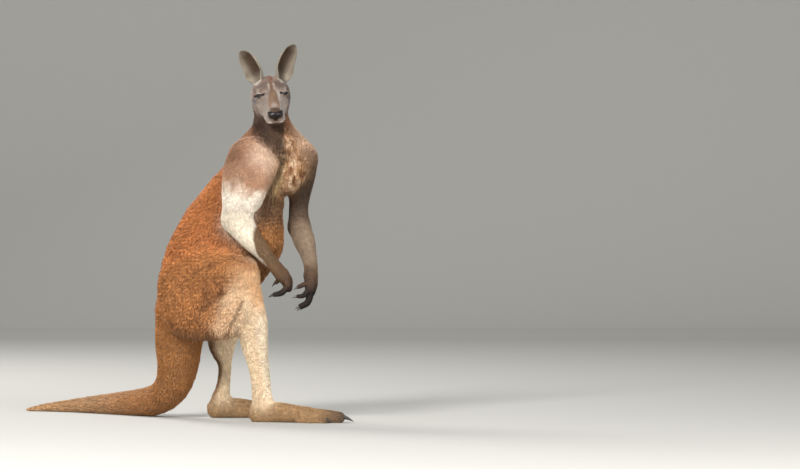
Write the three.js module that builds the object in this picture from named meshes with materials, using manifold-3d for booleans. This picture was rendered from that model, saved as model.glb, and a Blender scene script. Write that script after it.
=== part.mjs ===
// A red kangaroo, an old male at rest on his hind feet and tail, life size.
// Millimetres, +Z up, +X the way the hips and hind feet point, -Y the side his chest and face turn to.
// The body is one smooth solid: masses of flesh and bone, each a loft of oval sections, that flow into
// each other. Thin plane cuts then part it into head, neck, trunk, limbs and tail.
import * as THREE from 'three';
import { mergeVertices } from 'three/addons/utils/BufferGeometryUtils.js';
import Module from 'manifold-3d';

const wasm = await Module();
wasm.setup();

// ---------------------------------------------------------------- driving dimensions
const GAP = 0.3;                  // clearance between two pieces that meet
const FLOOR = 0;                  // the soles and the underside of the tail are flat here
const HIP_YAW = 8;                // degrees that the hips turn from +X towards -Y
const CHEST_YAW = 62;             // the same for the chest, which twists round
const NECK_YAW = 74;
const FACE = { yaw: 81, pitch: 24, roll: 6, at: [249, -20, 1219] };   // the point between the eyes
const EYE = { radius: 15.5, forward: 6, apart: 41, up: 8 };
// widest is a share of the ear's length, and lean is how far its middle bows back
const EAR = { width: 72, widest: 0.38, thick: 4.5, lean: 9.6 };
const HIND_FOOT = { heel: 12, sole: 180, longToe: 306, sideToe: 256, groomers: 240 };
const HAND_CLAW = { length: 18, radius: 5.2, out: 6 };
const FOOT_CLAW_DIP = 0.2;        // how steeply a foot's claws point down
const TAIL_TIP = 10;              // the tip's height; it is a little narrower than high

const RAD = Math.PI / 180;
const UP = [0, 0, 1];
const AHEAD = [1, 0, 0];
const BOTH_SIDES = [1, -1];

const vec = (p) => new THREE.Vector3(...p);
const yawed = (degrees) => [Math.cos(degrees * RAD), -Math.sin(degrees * RAD), 0];
const plus = (p, q, scale = 1) => p.map((value, i) => value + q[i] * scale);
const cross = (p, q) => vec(p).cross(vec(q)).toArray();
const unit = (p) => vec(p).normalize().toArray();

// ---------------------------------------------------------------- masses
// A mass is a loft through stations [x, y, z, side radius, front radius]; front is the direction that
// the second radius points in, one for all stations or one for each. blend is how far it flows into others.
const LOFT_STEPS = 3;
const FAR = 90;                   // distances are not followed further out than this
const SIGHT = 130;                // how far round a mass its distance is worked out
const DEEP = 0.3;                 // the share of a section round its middle where a plain distance is enough

function splineRows(rows) {
  if (rows.length < 3) return rows;
  const mirrored = (end, next) => end.map((value, i) => 2 * value - next[i]);
  const all = [mirrored(rows[0], rows[1]), ...rows, mirrored(rows.at(-1), rows.at(-2))];
  const fine = [];
  for (let i = 1; i < all.length - 2; i++) {
    for (let step = 0; step < LOFT_STEPS; step++) {
      const t = step / LOFT_STEPS;
      const [a, b, c, d] = all.slice(i - 1, i + 3);
      fine.push(b.map((value, j) => 0.5 * (2 * value + (c[j] - a[j]) * t
        + (2 * a[j] - 5 * value + 4 * c[j] - d[j]) * t * t
        + (3 * value - a[j] - 3 * c[j] + d[j]) * t ** 3)));
    }
  }
  return [...fine, rows.at(-1)];
}

function loft(stations, { front = AHEAD, blend = 30, cap = null } = {}) {
  const fronts = Array.isArray(front[0]) ? front : stations.map(() => front);
  const rows = splineRows(stations.map((station, i) => [...station, ...fronts[i]]));
  const reach = (row) => Math.max(row[3], row[4], cap ?? 0) + SIGHT;
  const low = [0, 1, 2].map((i) => Math.min(...rows.map((row) => row[i] - reach(row))));
  const high = [0, 1, 2].map((i) => Math.max(...rows.map((row) => row[i] + reach(row))));
  const segments = rows.slice(1).map((end, i) => {
    const start = rows[i];
    const along = [0, 1, 2].map((j) => end[j] - start[j]);
    const axis = vec(along).normalize();
    const fore = vec([5, 6, 7].map((j) => start[j] + end[j]));
    fore.addScaledVector(axis, -fore.dot(axis)).normalize();
    const side = fore.clone().cross(axis);
    return { start, end, along, length2: vec(along).lengthSq(), fore, side };
  });
  return { segments, blend, cap, low, high };
}

function segmentDistance({ start, end, along, length2, fore, side }, cap, x, y, z) {
  const px = x - start[0];
  const py = y - start[1];
  const pz = z - start[2];
  const t = Math.min(1, Math.max(0, (px * along[0] + py * along[1] + pz * along[2]) / length2));
  const dx = px - t * along[0];
  const dy = py - t * along[1];
  const dz = pz - t * along[2];
  const across = dx * side.x + dy * side.y + dz * side.z;
  const ahead = dx * fore.x + dy * fore.y + dz * fore.z;
  const square = dx * dx + dy * dy + dz * dz;
  const beyond2 = Math.max(square - across * across - ahead * ahead, 0);
  const sideRadius = start[3] + (end[3] - start[3]) * t;
  const foreRadius = start[4] + (end[4] - start[4]) * t;
  const capRadius = cap ?? (sideRadius + foreRadius) / 2;
  const section2 = (across / sideRadius) ** 2 + (ahead / foreRadius) ** 2;
  const ratio = Math.sqrt(section2 + beyond2 / capRadius ** 2);
  if (ratio < DEEP) return -Math.min(sideRadius, foreRadius) * (1 - ratio);
  return Math.sqrt(square) * (1 - 1 / ratio);
}

const within = (mass, x, y, z) => x > mass.low[0] && x < mass.high[0] && y > mass.low[1] && y < mass.high[1]
  && z > mass.low[2] && z < mass.high[2];

// the distance from a point to the skin of several masses that flow together
function flesh(masses) {
  return (x, y, z) => {
    let distance = FAR;
    for (const mass of masses) {
      if (!within(mass, x, y, z)) continue;
      const near = Math.min(...mass.segments.map((segment) => segmentDistance(segment, mass.cap, x, y, z)));
      const melt = Math.max(mass.blend - Math.abs(distance - near), 0) / mass.blend;
      distance = Math.min(distance, near) - melt * melt * mass.blend / 4;
    }
    return distance;
  };
}

// ---------------------------------------------------------------- trunk and neck
const SPINE = [                   // [x, y, z, side, front], yaw: from the rump up to the root of the neck
  [[-62, 12, 428, 118, 116], 6], [[-38, 10, 505, 138, 140], HIP_YAW], [[0, 6, 590, 148, 158], 12],
  [[60, 6, 680, 150, 172], 18], [[116, 10, 765, 142, 168], 26], [[160, 14, 845, 128, 152], 38],
  [[200, 16, 912, 122, 136], 50], [[236, 20, 970, 110, 110], 60], [[252, 26, 1012, 92, 92], 66],
];
const RIGHT = unit(cross(yawed(CHEST_YAW), UP));      // his own right, across the chest
const BREAST = [274, -64, 926];

function pectoral(side) {
  const middle = plus(BREAST, RIGHT, 58 * side);
  const outer = plus(plus(plus(middle, RIGHT, 34 * side), yawed(CHEST_YAW), -26), UP, 30);
  const inner = plus(plus(middle, RIGHT, -14 * side), UP, -34);
  return loft(
    [[...outer, 46, 42], [...middle, 58, 48], [...inner, 50, 40]],
    { front: yawed(CHEST_YAW), blend: 14 },
  );
}

const TRUNK = [
  loft(SPINE.map(([station]) => station), { front: SPINE.map(([, yaw]) => yawed(yaw)), blend: 60 }),
  loft([[176, -24, 740, 100, 104], [182, -34, 670, 118, 116], [164, -36, 585, 92, 82]],       // belly
    { front: yawed(20), blend: 50 }),
  loft([[96, -16, 520, 92, 88], [62, -8, 450, 70, 60]], { front: yawed(HIP_YAW), blend: 60 }),  // groin
  ...BOTH_SIDES.map(pectoral),
];
const NECK = [
  loft([[254, 30, 1000, 88, 86], [253, 42, 1080, 68, 70], [245, 52, 1165, 66, 62]],
    { front: yawed(NECK_YAW), blend: 40 }),
  loft([[226, 50, 1096, 40, 40], [190, 40, 1048, 48, 48], [146, 14, 992, 58, 62]],             // near slope
    { front: yawed(CHEST_YAW), blend: 34 }),
  loft([[276, 60, 1096, 40, 40], [316, 60, 1056, 44, 44], [358, 54, 1002, 52, 54]],            // far slope
    { front: yawed(CHEST_YAW), blend: 34 }),
];

// ---------------------------------------------------------------- head
// The face has its own axes: forward along the muzzle, left to his own left, up to the crown.
function faceAxes({ yaw, pitch, roll }) {
  const forward = plus(yawed(yaw).map((value) => value * Math.cos(pitch * RAD)), UP, -Math.sin(pitch * RAD));
  const level = unit(cross(UP, forward));
  const upright = cross(forward, level);
  const lean = (p, q) => p.map((value, i) => value * Math.cos(roll * RAD) + q[i] * Math.sin(roll * RAD));
  return { forward, left: lean(level, upright), up: lean(upright, level.map((value) => -value)) };
}
const AXES = faceAxes(FACE);
const onFace = (forward, left, up) => plus(
  plus(plus(FACE.at, AXES.forward, forward), AXES.left, left),
  AXES.up,
  up,
);
const faceLoft = (stations, options) => loft(
  stations.map(([forward, left, up, wide, high]) => [...onFace(forward, left, up), wide, high]),
  { front: AXES.up, ...options },
);
const cheek = (side) => [
  faceLoft([[-52, 47 * side, -12, 22, 38], [-20, 52 * side, -18, 22, 34], [4, 48 * side, -30, 18, 22]],
    { cap: 18, blend: 22 }),                                                                  // cheekbone
  faceLoft([[-58, 44 * side, -44, 24, 36], [-12, 40 * side, -56, 24, 32], [34, 26 * side, -62, 18, 22]],
    { cap: 20, blend: 22 }),                                                                  // jaw muscle
  faceLoft([[66, 21 * side, -56, 17, 19], [100, 19 * side, -58, 16, 15]],
    { cap: 13, blend: 12 }),                                                                  // upper lip
  faceLoft([[8, 40 * side, 25, 14, 10], [-16, 52 * side, 19, 14, 11]],
    { cap: 10, blend: 16 }),                                                                  // brow
];
const HEAD = [
  faceLoft([[-70, 0, 2, 48, 41], [-38, 0, 6, 60, 53], [-8, 0, 0, 57, 49], [22, 0, -8, 38, 40]],
    { cap: 30, blend: 24 }),                                                                  // cranium
  faceLoft([[-6, 0, 14, 38, 36], [40, 0, -4, 29, 31], [80, 0, -20, 26, 25], [106, 0, -30, 25, 19]],
    { cap: 14, blend: 16 }),                                                                  // nose bridge
  faceLoft([[-14, 0, -28, 50, 42], [36, 0, -40, 38, 40], [78, 0, -50, 36, 32], [98, 0, -53, 35, 26]],
    { cap: 16, blend: 20 }),                                                                  // muzzle
  faceLoft([[102, 0, -28, 30, 17], [118, 0, -31, 27, 14]], { cap: 9, blend: 8 }),             // nose
  ...BOTH_SIDES.flatMap(cheek),
  faceLoft([[-40, 0, -66, 42, 28], [40, 0, -74, 27, 17], [84, 0, -76, 22, 12]],
    { cap: 14, blend: 14 }),                                                                  // jaw
];

// ---------------------------------------------------------------- arms and hands
const NEAR_UPPER = [
  loft([[185, -70, 985, 60, 92], [172, -104, 940, 62, 94], [158, -134, 895, 60, 90],
    [144, -158, 842, 54, 80], [130, -178, 800, 48, 62], [122, -186, 757, 45, 58]], { blend: 22 }),
];
const NEAR_FORE = [
  loft([[122, -186, 757, 45, 56], [170, -204, 692, 42, 44], [222, -207, 631, 29, 32],
    [262, -203, 586, 25, 27], [290, -198, 552, 24, 27]], { front: [0.7, 0, 0.7], blend: 16 }),
];
const FAR_UPPER = [
  loft([[362, 40, 972, 54, 58], [360, 46, 900, 48, 52], [350, 50, 800, 36, 42], [352, 46, 724, 42, 43]],
    { front: yawed(CHEST_YAW), blend: 24 }),
];
const FAR_FORE = [
  loft([[352, 46, 724, 42, 43], [372, -22, 672, 40, 42], [388, -88, 626, 31, 32], [398, -140, 580, 26, 27],
    [398, -166, 548, 25, 26]], { blend: 14 }),
];
const PALM_NEAR = [[292, -198, 550, 24, 26], [308, -200, 530, 30, 23], [314, -201, 510, 33, 17]];
const PALM_FAR = [[398, -168, 546, 25, 26], [400, -178, 516, 30, 25], [398, -186, 492, 32, 20]];
// each digit is [x, y, z, radius] at its knuckle, joint and tip
const FINGERS_NEAR = [0, 1, 2, 3].map((i) => [[312, -226 + 13 * i, 508, 11],
  [292, -228 + 14 * i, i % 3 ? 483 : 486, 10.5], [264, -226 + 13 * i, 477, 9]]);
const DIGITS_NEAR = [...FINGERS_NEAR, [[292, -176, 540, 11], [270, -172, 522, 9]]];
const DIGITS_FAR = [
  [[386, -200, 520, 11], [354, -210, 506, 9]],
  [[392, -206, 498, 11], [372, -216, 474, 10], [352, -218, 471, 8.5]],
  [[396, -194, 488, 12], [386, -206, 450, 11], [360, -212, 436, 9]],
  [[398, -180, 486, 12], [389, -188, 446, 11], [364, -194, 430, 9]],
  [[400, -166, 490, 11], [395, -168, 454, 10], [374, -176, 434, 8.5]],
];
const ROUND = [0, 1, 0.01];
const round = (rows, options) => loft(rows.map(([x, y, z, radius]) => [x, y, z, radius, radius]), options);
const digit = (joints) => round(joints, { front: ROUND, blend: 4 });
const NEAR_HAND = [loft(PALM_NEAR, { front: [0.8, 0, 0.5], blend: 8 }), ...DIGITS_NEAR.map(digit)];
const FAR_HAND = [loft(PALM_FAR, { front: [1, 0.2, 0], blend: 8 }), ...DIGITS_FAR.map(digit)];

// ---------------------------------------------------------------- hind legs and feet
const NEAR_THIGH = [
  loft([[-66, -84, 470, 78, 138], [26, -136, 520, 80, 122], [108, -182, 552, 60, 71]],
    { front: UP, cap: 110, blend: 40 }),
  loft([[-60, -110, 408, 72, 100], [10, -150, 402, 72, 102], [62, -172, 400, 58, 90]],
    { front: UP, cap: 100, blend: 24 }),
  loft([[126, -222, 500, 34, 34], [104, -218, 430, 42, 46], [76, -204, 352, 40, 44]],
    { blend: 26 }),                                                                           // hamstring
  loft([[130, -206, 556, 50, 50], [156, -212, 538, 50, 50]], { blend: 24 }),                  // knee
];
const FAR_THIGH = [
  loft([[-66, 100, 466, 78, 136], [10, 142, 512, 78, 116], [72, 178, 550, 58, 74]],
    { front: UP, cap: 108, blend: 40 }),
  loft([[-60, 124, 406, 72, 98], [0, 156, 406, 70, 98], [40, 172, 412, 56, 86]],
    { front: UP, cap: 98, blend: 24 }),
];
const NEAR_SHANK = [
  loft([[158, -212, 540, 50, 50], [168, -208, 450, 46, 56], [180, -196, 370, 44, 60],
    [188, -186, 300, 39, 53], [200, -176, 230, 33, 43], [210, -168, 165, 30, 38],
    [218, -162, 78, 32, 40]], { blend: 16 }),
];
const FAR_SHANK = [
  loft([[112, 194, 545, 50, 54], [92, 188, 440, 48, 64], [66, 176, 330, 44, 64], [58, 162, 268, 38, 52],
    [70, 148, 200, 29, 28], [64, 138, 120, 27, 29], [54, 132, 75, 30, 36]], { blend: 18 }),
];

// A long foot lies along its yaw from the heel; outward is +1 where its outer side is to the right of that.
function hindFoot(heel, yaw, outward) {
  const toes = yawed(yaw);
  const out = cross(toes, UP).map((value) => value * outward);
  const at = (along, aside, height) => plus(plus(plus(heel, toes, along), out, aside), UP, height);
  const bone = (stations, blend) => loft(
    stations.map(([along, aside, height, wide, high]) => [...at(along, aside, height), wide, high]),
    { front: UP, blend },
  );
  const { heel: back, sole, longToe, sideToe, groomers } = HIND_FOOT;
  const masses = [
    bone([[-back, 0, 34, 26, 37], [50, 0, 38, 29, 40], [120, 0, 33, 34, 36], [sole, 0, 27, 36, 31]], 16),
    bone([[sole, -4, 27, 26, 30], [250, -4, 24, 23, 27], [longToe, -4, 20, 20, 23]], 12),
    bone([[160, 28, 22, 17, 25], [220, 36, 17, 15, 20], [sideToe, 38, 14, 13, 17]], 10),
    bone([[165, -30, 16, 12, 19], [212, -36, 12, 11, 15], [groomers, -37, 10, 10, 12]], 8),
  ];
  const claws = [                 // root, length and radius: the long toe, the side toe and the two groomers
    [at(longToe + 12, -4, 22), 46, 10], [at(sideToe + 8, 39, 14), 26, 7],
    [at(groomers + 6, -33, 11), 14, 4], [at(groomers + 6, -42, 10), 14, 4],
  ].map(([root, length, radius]) => ({ root, length, radius, way: unit(plus(toes, UP, -FOOT_CLAW_DIP)) }));
  return { masses, claws };
}
const NEAR_FOOT = hindFoot([206, -160, 0], 12, 1);
const FAR_FOOT = hindFoot([42, 130, 0], -4, -1);

// ---------------------------------------------------------------- tail
const TAIL_LINE = [               // [x, y, z, radius]: down from the rump, round, and away along the floor
  [-84, 22, 392, 104], [-100, 42, 300, 93], [-104, 64, 210, 81], [-124, 106, 128, 70], [-176, 178, 72, 62],
  [-252, 264, 52, 54], [-340, 356, 43, 45], [-438, 450, 34, 36], [-534, 526, 25, 27], [-622, 572, 16, 18],
  [-692, 590, 8, TAIL_TIP],
];
const TAIL = [round(TAIL_LINE, { front: [0.5, 0.5, 0.7], blend: 34 })];

// ---------------------------------------------------------------- meshes
// A net over the skin of a solid: one vertex in each cell of a grid that the skin passes through.
function netOver(distance, low, high, cell) {
  const inBox = (x, y, z) => Math.max(distance(x, y, z), low[0] - x, x - high[0], low[1] - y, y - high[1],
    low[2] - z, z - high[2]);
  const count = [0, 1, 2].map((i) => Math.ceil((high[i] - low[i]) / cell[i]) + 3);
  const place = (i, axis) => low[axis] + (i - 1) * cell[axis];
  const index = (i, j, k) => (i * count[1] + j) * count[2] + k;
  const values = new Float64Array(count[0] * count[1] * count[2]);
  for (let i = 0; i < count[0]; i++) {
    for (let j = 0; j < count[1]; j++) {
      for (let k = 0; k < count[2]; k++) {
        values[index(i, j, k)] = inBox(place(i, 0), place(j, 1), place(k, 2));
      }
    }
  }
  const positions = [];
  const vertexOf = new Int32Array(values.length).fill(-1);
  const corners = [0, 1, 2, 3, 4, 5, 6, 7].map((bits) => [bits & 1, (bits >> 1) & 1, (bits >> 2) & 1]);
  const edges = corners.flatMap((corner, a) => [0, 1, 2]
    .filter((axis) => !corner[axis])
    .map((axis) => [a, a | (1 << axis)]));
  for (let i = 0; i < count[0] - 1; i++) {
    for (let j = 0; j < count[1] - 1; j++) {
      for (let k = 0; k < count[2] - 1; k++) {
        const at = corners.map(([a, b, c]) => values[index(i + a, j + b, k + c)]);
        const crossed = edges.filter(([a, b]) => (at[a] < 0) !== (at[b] < 0));
        if (!crossed.length) continue;
        const sum = [0, 0, 0];
        for (const [a, b] of crossed) {
          const t = at[a] / (at[a] - at[b]);
          for (const axis of [0, 1, 2]) {
            sum[axis] += corners[a][axis] + t * (corners[b][axis] - corners[a][axis]);
          }
        }
        const start = [place(i, 0), place(j, 1), place(k, 2)];
        const point = start.map((value, axis) => value + (sum[axis] / crossed.length) * cell[axis]);
        vertexOf[index(i, j, k)] = positions.length;
        positions.push(settle(inBox, point));
      }
    }
  }
  const faces = [];
  const step = [index(1, 0, 0), index(0, 1, 0), 1];
  const apart = (a, b) => vec(positions[a]).distanceToSquared(vec(positions[b]));
  for (let at = 0; at < values.length; at++) {
    for (const axis of [0, 1, 2]) {
      const next = at + step[axis];
      if (next >= values.length || (values[at] < 0) === (values[next] < 0)) continue;
      const [u, v] = [step[(axis + 1) % 3], step[(axis + 2) % 3]];
      const ring = [at, at - u, at - u - v, at - v].map((cellIndex) => vertexOf[cellIndex]);
      if (values[at] >= 0) ring.reverse();
      const [a, b, c, d] = ring;
      if (apart(a, c) < apart(b, d)) faces.push(a, b, c, a, c, d);
      else faces.push(a, b, d, b, c, d);
    }
  }
  return geometryOf(positions.flat(), faces);
}

// moves a point onto the skin along the slope of the distance
const PROBE = 0.5;                // half the step that the slope is measured over
const LONGEST_MOVE = 6;
const LEAST_SLOPE = 0.2;
function settle(distance, point) {
  let place = point;
  for (let pass = 0; pass < 3; pass++) {
    const value = distance(...place);
    const slope = [0, 1, 2].map((axis) => {
      const [ahead, behind] = [PROBE, -PROBE].map((step) => place.map((p, i) => p + (i === axis ? step : 0)));
      return (distance(...ahead) - distance(...behind)) / (2 * PROBE);
    });
    const steep = Math.max(vec(slope).lengthSq(), LEAST_SLOPE);
    const move = Math.min(LONGEST_MOVE, Math.max(-LONGEST_MOVE, value / steep));
    place = plus(place, slope, -move);
  }
  return place;
}

function geometryOf(positions, faces) {
  const geometry = new THREE.BufferGeometry();
  geometry.setAttribute('position', new THREE.BufferAttribute(new Float32Array(positions), 3));
  geometry.setIndex(new THREE.BufferAttribute(new Uint32Array(faces), 1));
  return geometry;
}

// rings of points from end to end, joined and closed by a fan at each end
function closedLoft(rings) {
  const size = rings[0].length;
  const faces = [];
  for (let r = 0; r < rings.length - 1; r++) {
    for (let i = 0; i < size; i++) {
      const [a, b] = [r * size + i, r * size + (i + 1) % size];
      faces.push(a, b, b + size, a, b + size, a + size);
    }
  }
  const points = rings.flat();
  for (const [first, flip] of [[0, true], [(rings.length - 1) * size, false]]) {
    const middle = points.length;
    const ring = points.slice(first, first + size);
    points.push([0, 1, 2].map((axis) => ring.reduce((sum, p) => sum + p[axis], 0) / size));
    for (let i = 0; i < size; i++) {
      const [a, b] = [first + i, first + (i + 1) % size];
      faces.push(...(flip ? [b, a, middle] : [a, b, middle]));
    }
  }
  return geometryOf(points.flat(), faces);
}

// ---------------------------------------------------------------- cutting
function solidOf(geometry) {
  const bare = geometry.clone();
  bare.deleteAttribute('normal');
  bare.deleteAttribute('uv');
  const merged = mergeVertices(bare);
  const solid = new wasm.Manifold(new wasm.Mesh({
    numProp: 3,
    vertProperties: new Float32Array(merged.attributes.position.array),
    triVerts: new Uint32Array(merged.index.array),
  }));
  return solid.volume() < 0 ? solidOf(turnedOut(merged)) : solid;
}
function turnedOut({ attributes, index }) {
  return geometryOf(attributes.position.array, Array.from(index.array).reverse());
}

function geometryFrom(solid) {
  const mesh = solid.getMesh();
  const geometry = geometryOf(mesh.vertProperties, mesh.triVerts);
  geometry.computeVertexNormals();
  return geometry;
}

// a block with one face on the plane through a point, on the side that the normal points to
const BLOCK = 3000;
function beyond({ point, normal }, clear) {
  const way = vec(normal).normalize();
  const block = new THREE.BoxGeometry(BLOCK, BLOCK, BLOCK).translate(0, 0, BLOCK / 2 + clear);
  block.applyQuaternion(new THREE.Quaternion().setFromUnitVectors(vec(UP), way));
  return solidOf(block.translate(...point));
}
const plane = (point, normal) => ({ point, normal });
const other = ({ point, normal }) => plane(point, normal.map((value) => -value));
const insideAll = (planes, clear) => planes
  .map((side) => beyond(side, clear))
  .reduce((a, b) => a.intersect(b));

// The biggest piece alone, without its slivers: a crumb can stay where two cuts meet on a curved skin.
const biggest = (solid) => solid.decompose().sort((a, b) => b.volume() - a.volume())[0];

const CUT = {                     // each normal points away from the trunk
  nape: plane([250, 20, 1128], [0, -0.447, 0.894]),
  collar: plane([0, 0, 1032], UP),
  waist: plane([130, 10, 780], [0.5, 0.04, 0.86]),
  loin: plane([0, 0, 590], [0.35, 0, 0.94]),
  nearArmpit: plane([150, -100, 900], [0, -0.963, 0.272]),
  nearBack: plane([40, 0, 0], AHEAD),
  nearElbow: plane([118, -186, 765], [0.32, -0.1, -0.94]),
  nearWrist: plane([286, -198, 557], [0.66, 0.05, -0.75]),
  farArmpit: plane([353, 0, 950], [0.883, 0.469, -0.3]),
  farElbow: plane([352, 44, 728], [0.13, -0.5, -0.86]),
  farWrist: plane([399, -160, 556], [0.05, -0.6, -0.8]),
  nearFlank: plane([0, -95, 0], [0, -1, 0]),
  farFlank: plane([0, 100, 0], [0, 1, 0]),
  thighTop: plane([150, 0, 640], [0.258, 0, -0.966]),
  nearKnee: plane([95, 0, 300], [0.783, 0, -0.622]),
  farKnee: plane([20, 0, 300], [0.707, 0, -0.707]),
  ankle: plane([0, 0, 64], [0, 0, -1]),
  tailRoot: plane([0, 0, 302], [0, 0, -1]),
  tailSide: plane([5, 0, 0], [-1, 0, 0]),
  tailBend: plane([-112, 82, 170], [-0.21, 0.45, -0.87]),
  tailLaid: plane([-214, 221, 60], [-0.65, 0.74, -0.17]),
  tailMid: plane([-390, 403, 38], [-0.72, 0.69, -0.07]),
  tailTip: plane([-580, 552, 20], [-0.88, 0.46, -0.09]),
};
const NEAR_ARM_SPACE = [CUT.nearArmpit, CUT.nearBack, other(CUT.collar)];
const FAR_ARM_SPACE = [CUT.farArmpit, other(CUT.collar)];
const NEAR_LEG_SPACE = [CUT.nearFlank, CUT.thighTop];
const FAR_LEG_SPACE = [CUT.farFlank, CUT.thighTop];
const TAIL_SPACE = [CUT.tailRoot, CUT.tailSide];

// ---------------------------------------------------------------- materials
const COAT = { rufous: '#b06a3c', chest: '#b98a5e', shoulder: '#b39a86', face: '#9c8a7c', cream: '#cdb591',
  shin: '#c9ad86', arm: '#8d7864', hand: '#2e2622', foot: '#8a6c50', tail: '#b47c50', ear: '#8f8377' };
const paint = (color, roughness = 0.9) => new THREE.MeshStandardMaterial({ color, roughness, metalness: 0 });
const CLAW_BLACK = paint('#1c1917', 0.45);

const kangaroo = new THREE.Group();
function addPiece(name, geometry, material) {
  const mesh = new THREE.Mesh(geometry, material);
  mesh.name = name;
  kangaroo.add(mesh);
  return mesh;
}

// ---------------------------------------------------------------- claws, eyes and ears
const CLAW_SIDES = 5;
const CLAW_RINGS = [              // root to tip: along and down in lengths, and size in root radii
  [0, 0, 0.95], [0.6, 0.05, 0.62], [1, 0.2, 0.1],
];
function clawShape({ root, way, length, radius }, grow = 0) {
  const across = unit(cross(way, UP));
  const above = cross(across, way);
  const ring = (along, drop, size) => Array.from({ length: CLAW_SIDES }, (_, i) => {
    const turn = (i / CLAW_SIDES) * 2 * Math.PI;
    const centre = plus(plus(root, way, along), above, -drop);
    return plus(plus(centre, across, size * 0.85 * Math.cos(turn)), above, size * Math.sin(turn));
  });
  const buried = ring(-radius * 0.8 - grow, 0, radius * 0.7 + grow);
  return closedLoft([
    buried,
    ...CLAW_RINGS.map(([along, drop, size]) => ring(length * along, length * drop, radius * size + grow)),
  ]);
}

function fingerClaw(joints) {
  const [before, tip] = joints.slice(-2).map((joint) => joint.slice(0, 3));
  const way = unit(plus(tip, before, -1));
  return { root: plus(tip, way, HAND_CLAW.out), way, length: HAND_CLAW.length, radius: HAND_CLAW.radius };
}

function eyeBall(side, grow = 0) {
  const centre = onFace(EYE.forward, EYE.apart * side, EYE.up);
  return new THREE.SphereGeometry(EYE.radius + grow, 12, 8).rotateX(Math.PI / 2).translate(...centre);
}

// An ear is a leaf rolled round its length: nearly a tube at the root, an open dish at the tip.
const EAR_RINGS = 9;
const EAR_STEPS = 4;
const EAR_LAST = 0.985;           // where the last ring is, just short of the point
const EAR_ROLL = { root: 146, open: 54, ends: 0.625 };  // half the turn of the roll, and where it is open
function earShape(root, tip, opening) {
  const length = vec(tip).distanceTo(vec(root));
  const along = unit(plus(tip, root, -1));
  const across = unit(cross(along, opening));
  const hollow = cross(across, along);
  const rings = Array.from({ length: EAR_RINGS }, (_, r) => {
    const t = EAR_LAST * r / (EAR_RINGS - 1);
    const half = earHalfWidth(t);
    const roll = (EAR_ROLL.root - (EAR_ROLL.root - EAR_ROLL.open) * Math.min(1, t / EAR_ROLL.ends)) * RAD;
    const radius = half / Math.sin(Math.min(roll, Math.PI / 2));
    const bow = EAR.lean * Math.sin(Math.PI * t);
    const arc = (scale, edge) => Array.from({ length: EAR_STEPS + 1 }, (_, i) => {
      const turn = roll * edge * (2 * i / EAR_STEPS - 1);
      const point = plus(plus(root, along, t * length), across, radius * scale * Math.sin(turn));
      return plus(point, hollow, radius - radius * scale * Math.cos(turn) - half * 0.7 - bow);
    });
    const wall = Math.min(EAR.thick, radius * 0.5);
    return [...arc(1, 1), ...arc(1 - wall / radius, 0.96).reverse()];
  });
  return closedLoft(rings);
}

// half the width of the leaf: it swells fast from the root, stays wide, and ends in a round tip
function earHalfWidth(t) {
  const swell = 0.5 + 0.5 * Math.sin(Math.min(t / EAR.widest, 1) * Math.PI / 2);
  const close = Math.max(0, (t - EAR.widest) / (1 - EAR.widest)) ** 2.5;
  return (EAR.width / 2) * swell * Math.sqrt(1 - close);
}

// every vertex moved out along its normal, so that what is cut by the result keeps clear of the original
function swollen(geometry, by) {
  const wide = mergeVertices(geometry.clone().deleteAttribute('normal'));
  wide.computeVertexNormals();
  const { position, normal } = wide.attributes;
  for (let i = 0; i < position.count; i++) {
    position.setXYZ(i, position.getX(i) + by * normal.getX(i), position.getY(i) + by * normal.getY(i),
      position.getZ(i) + by * normal.getZ(i));
  }
  return wide;
}

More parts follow.
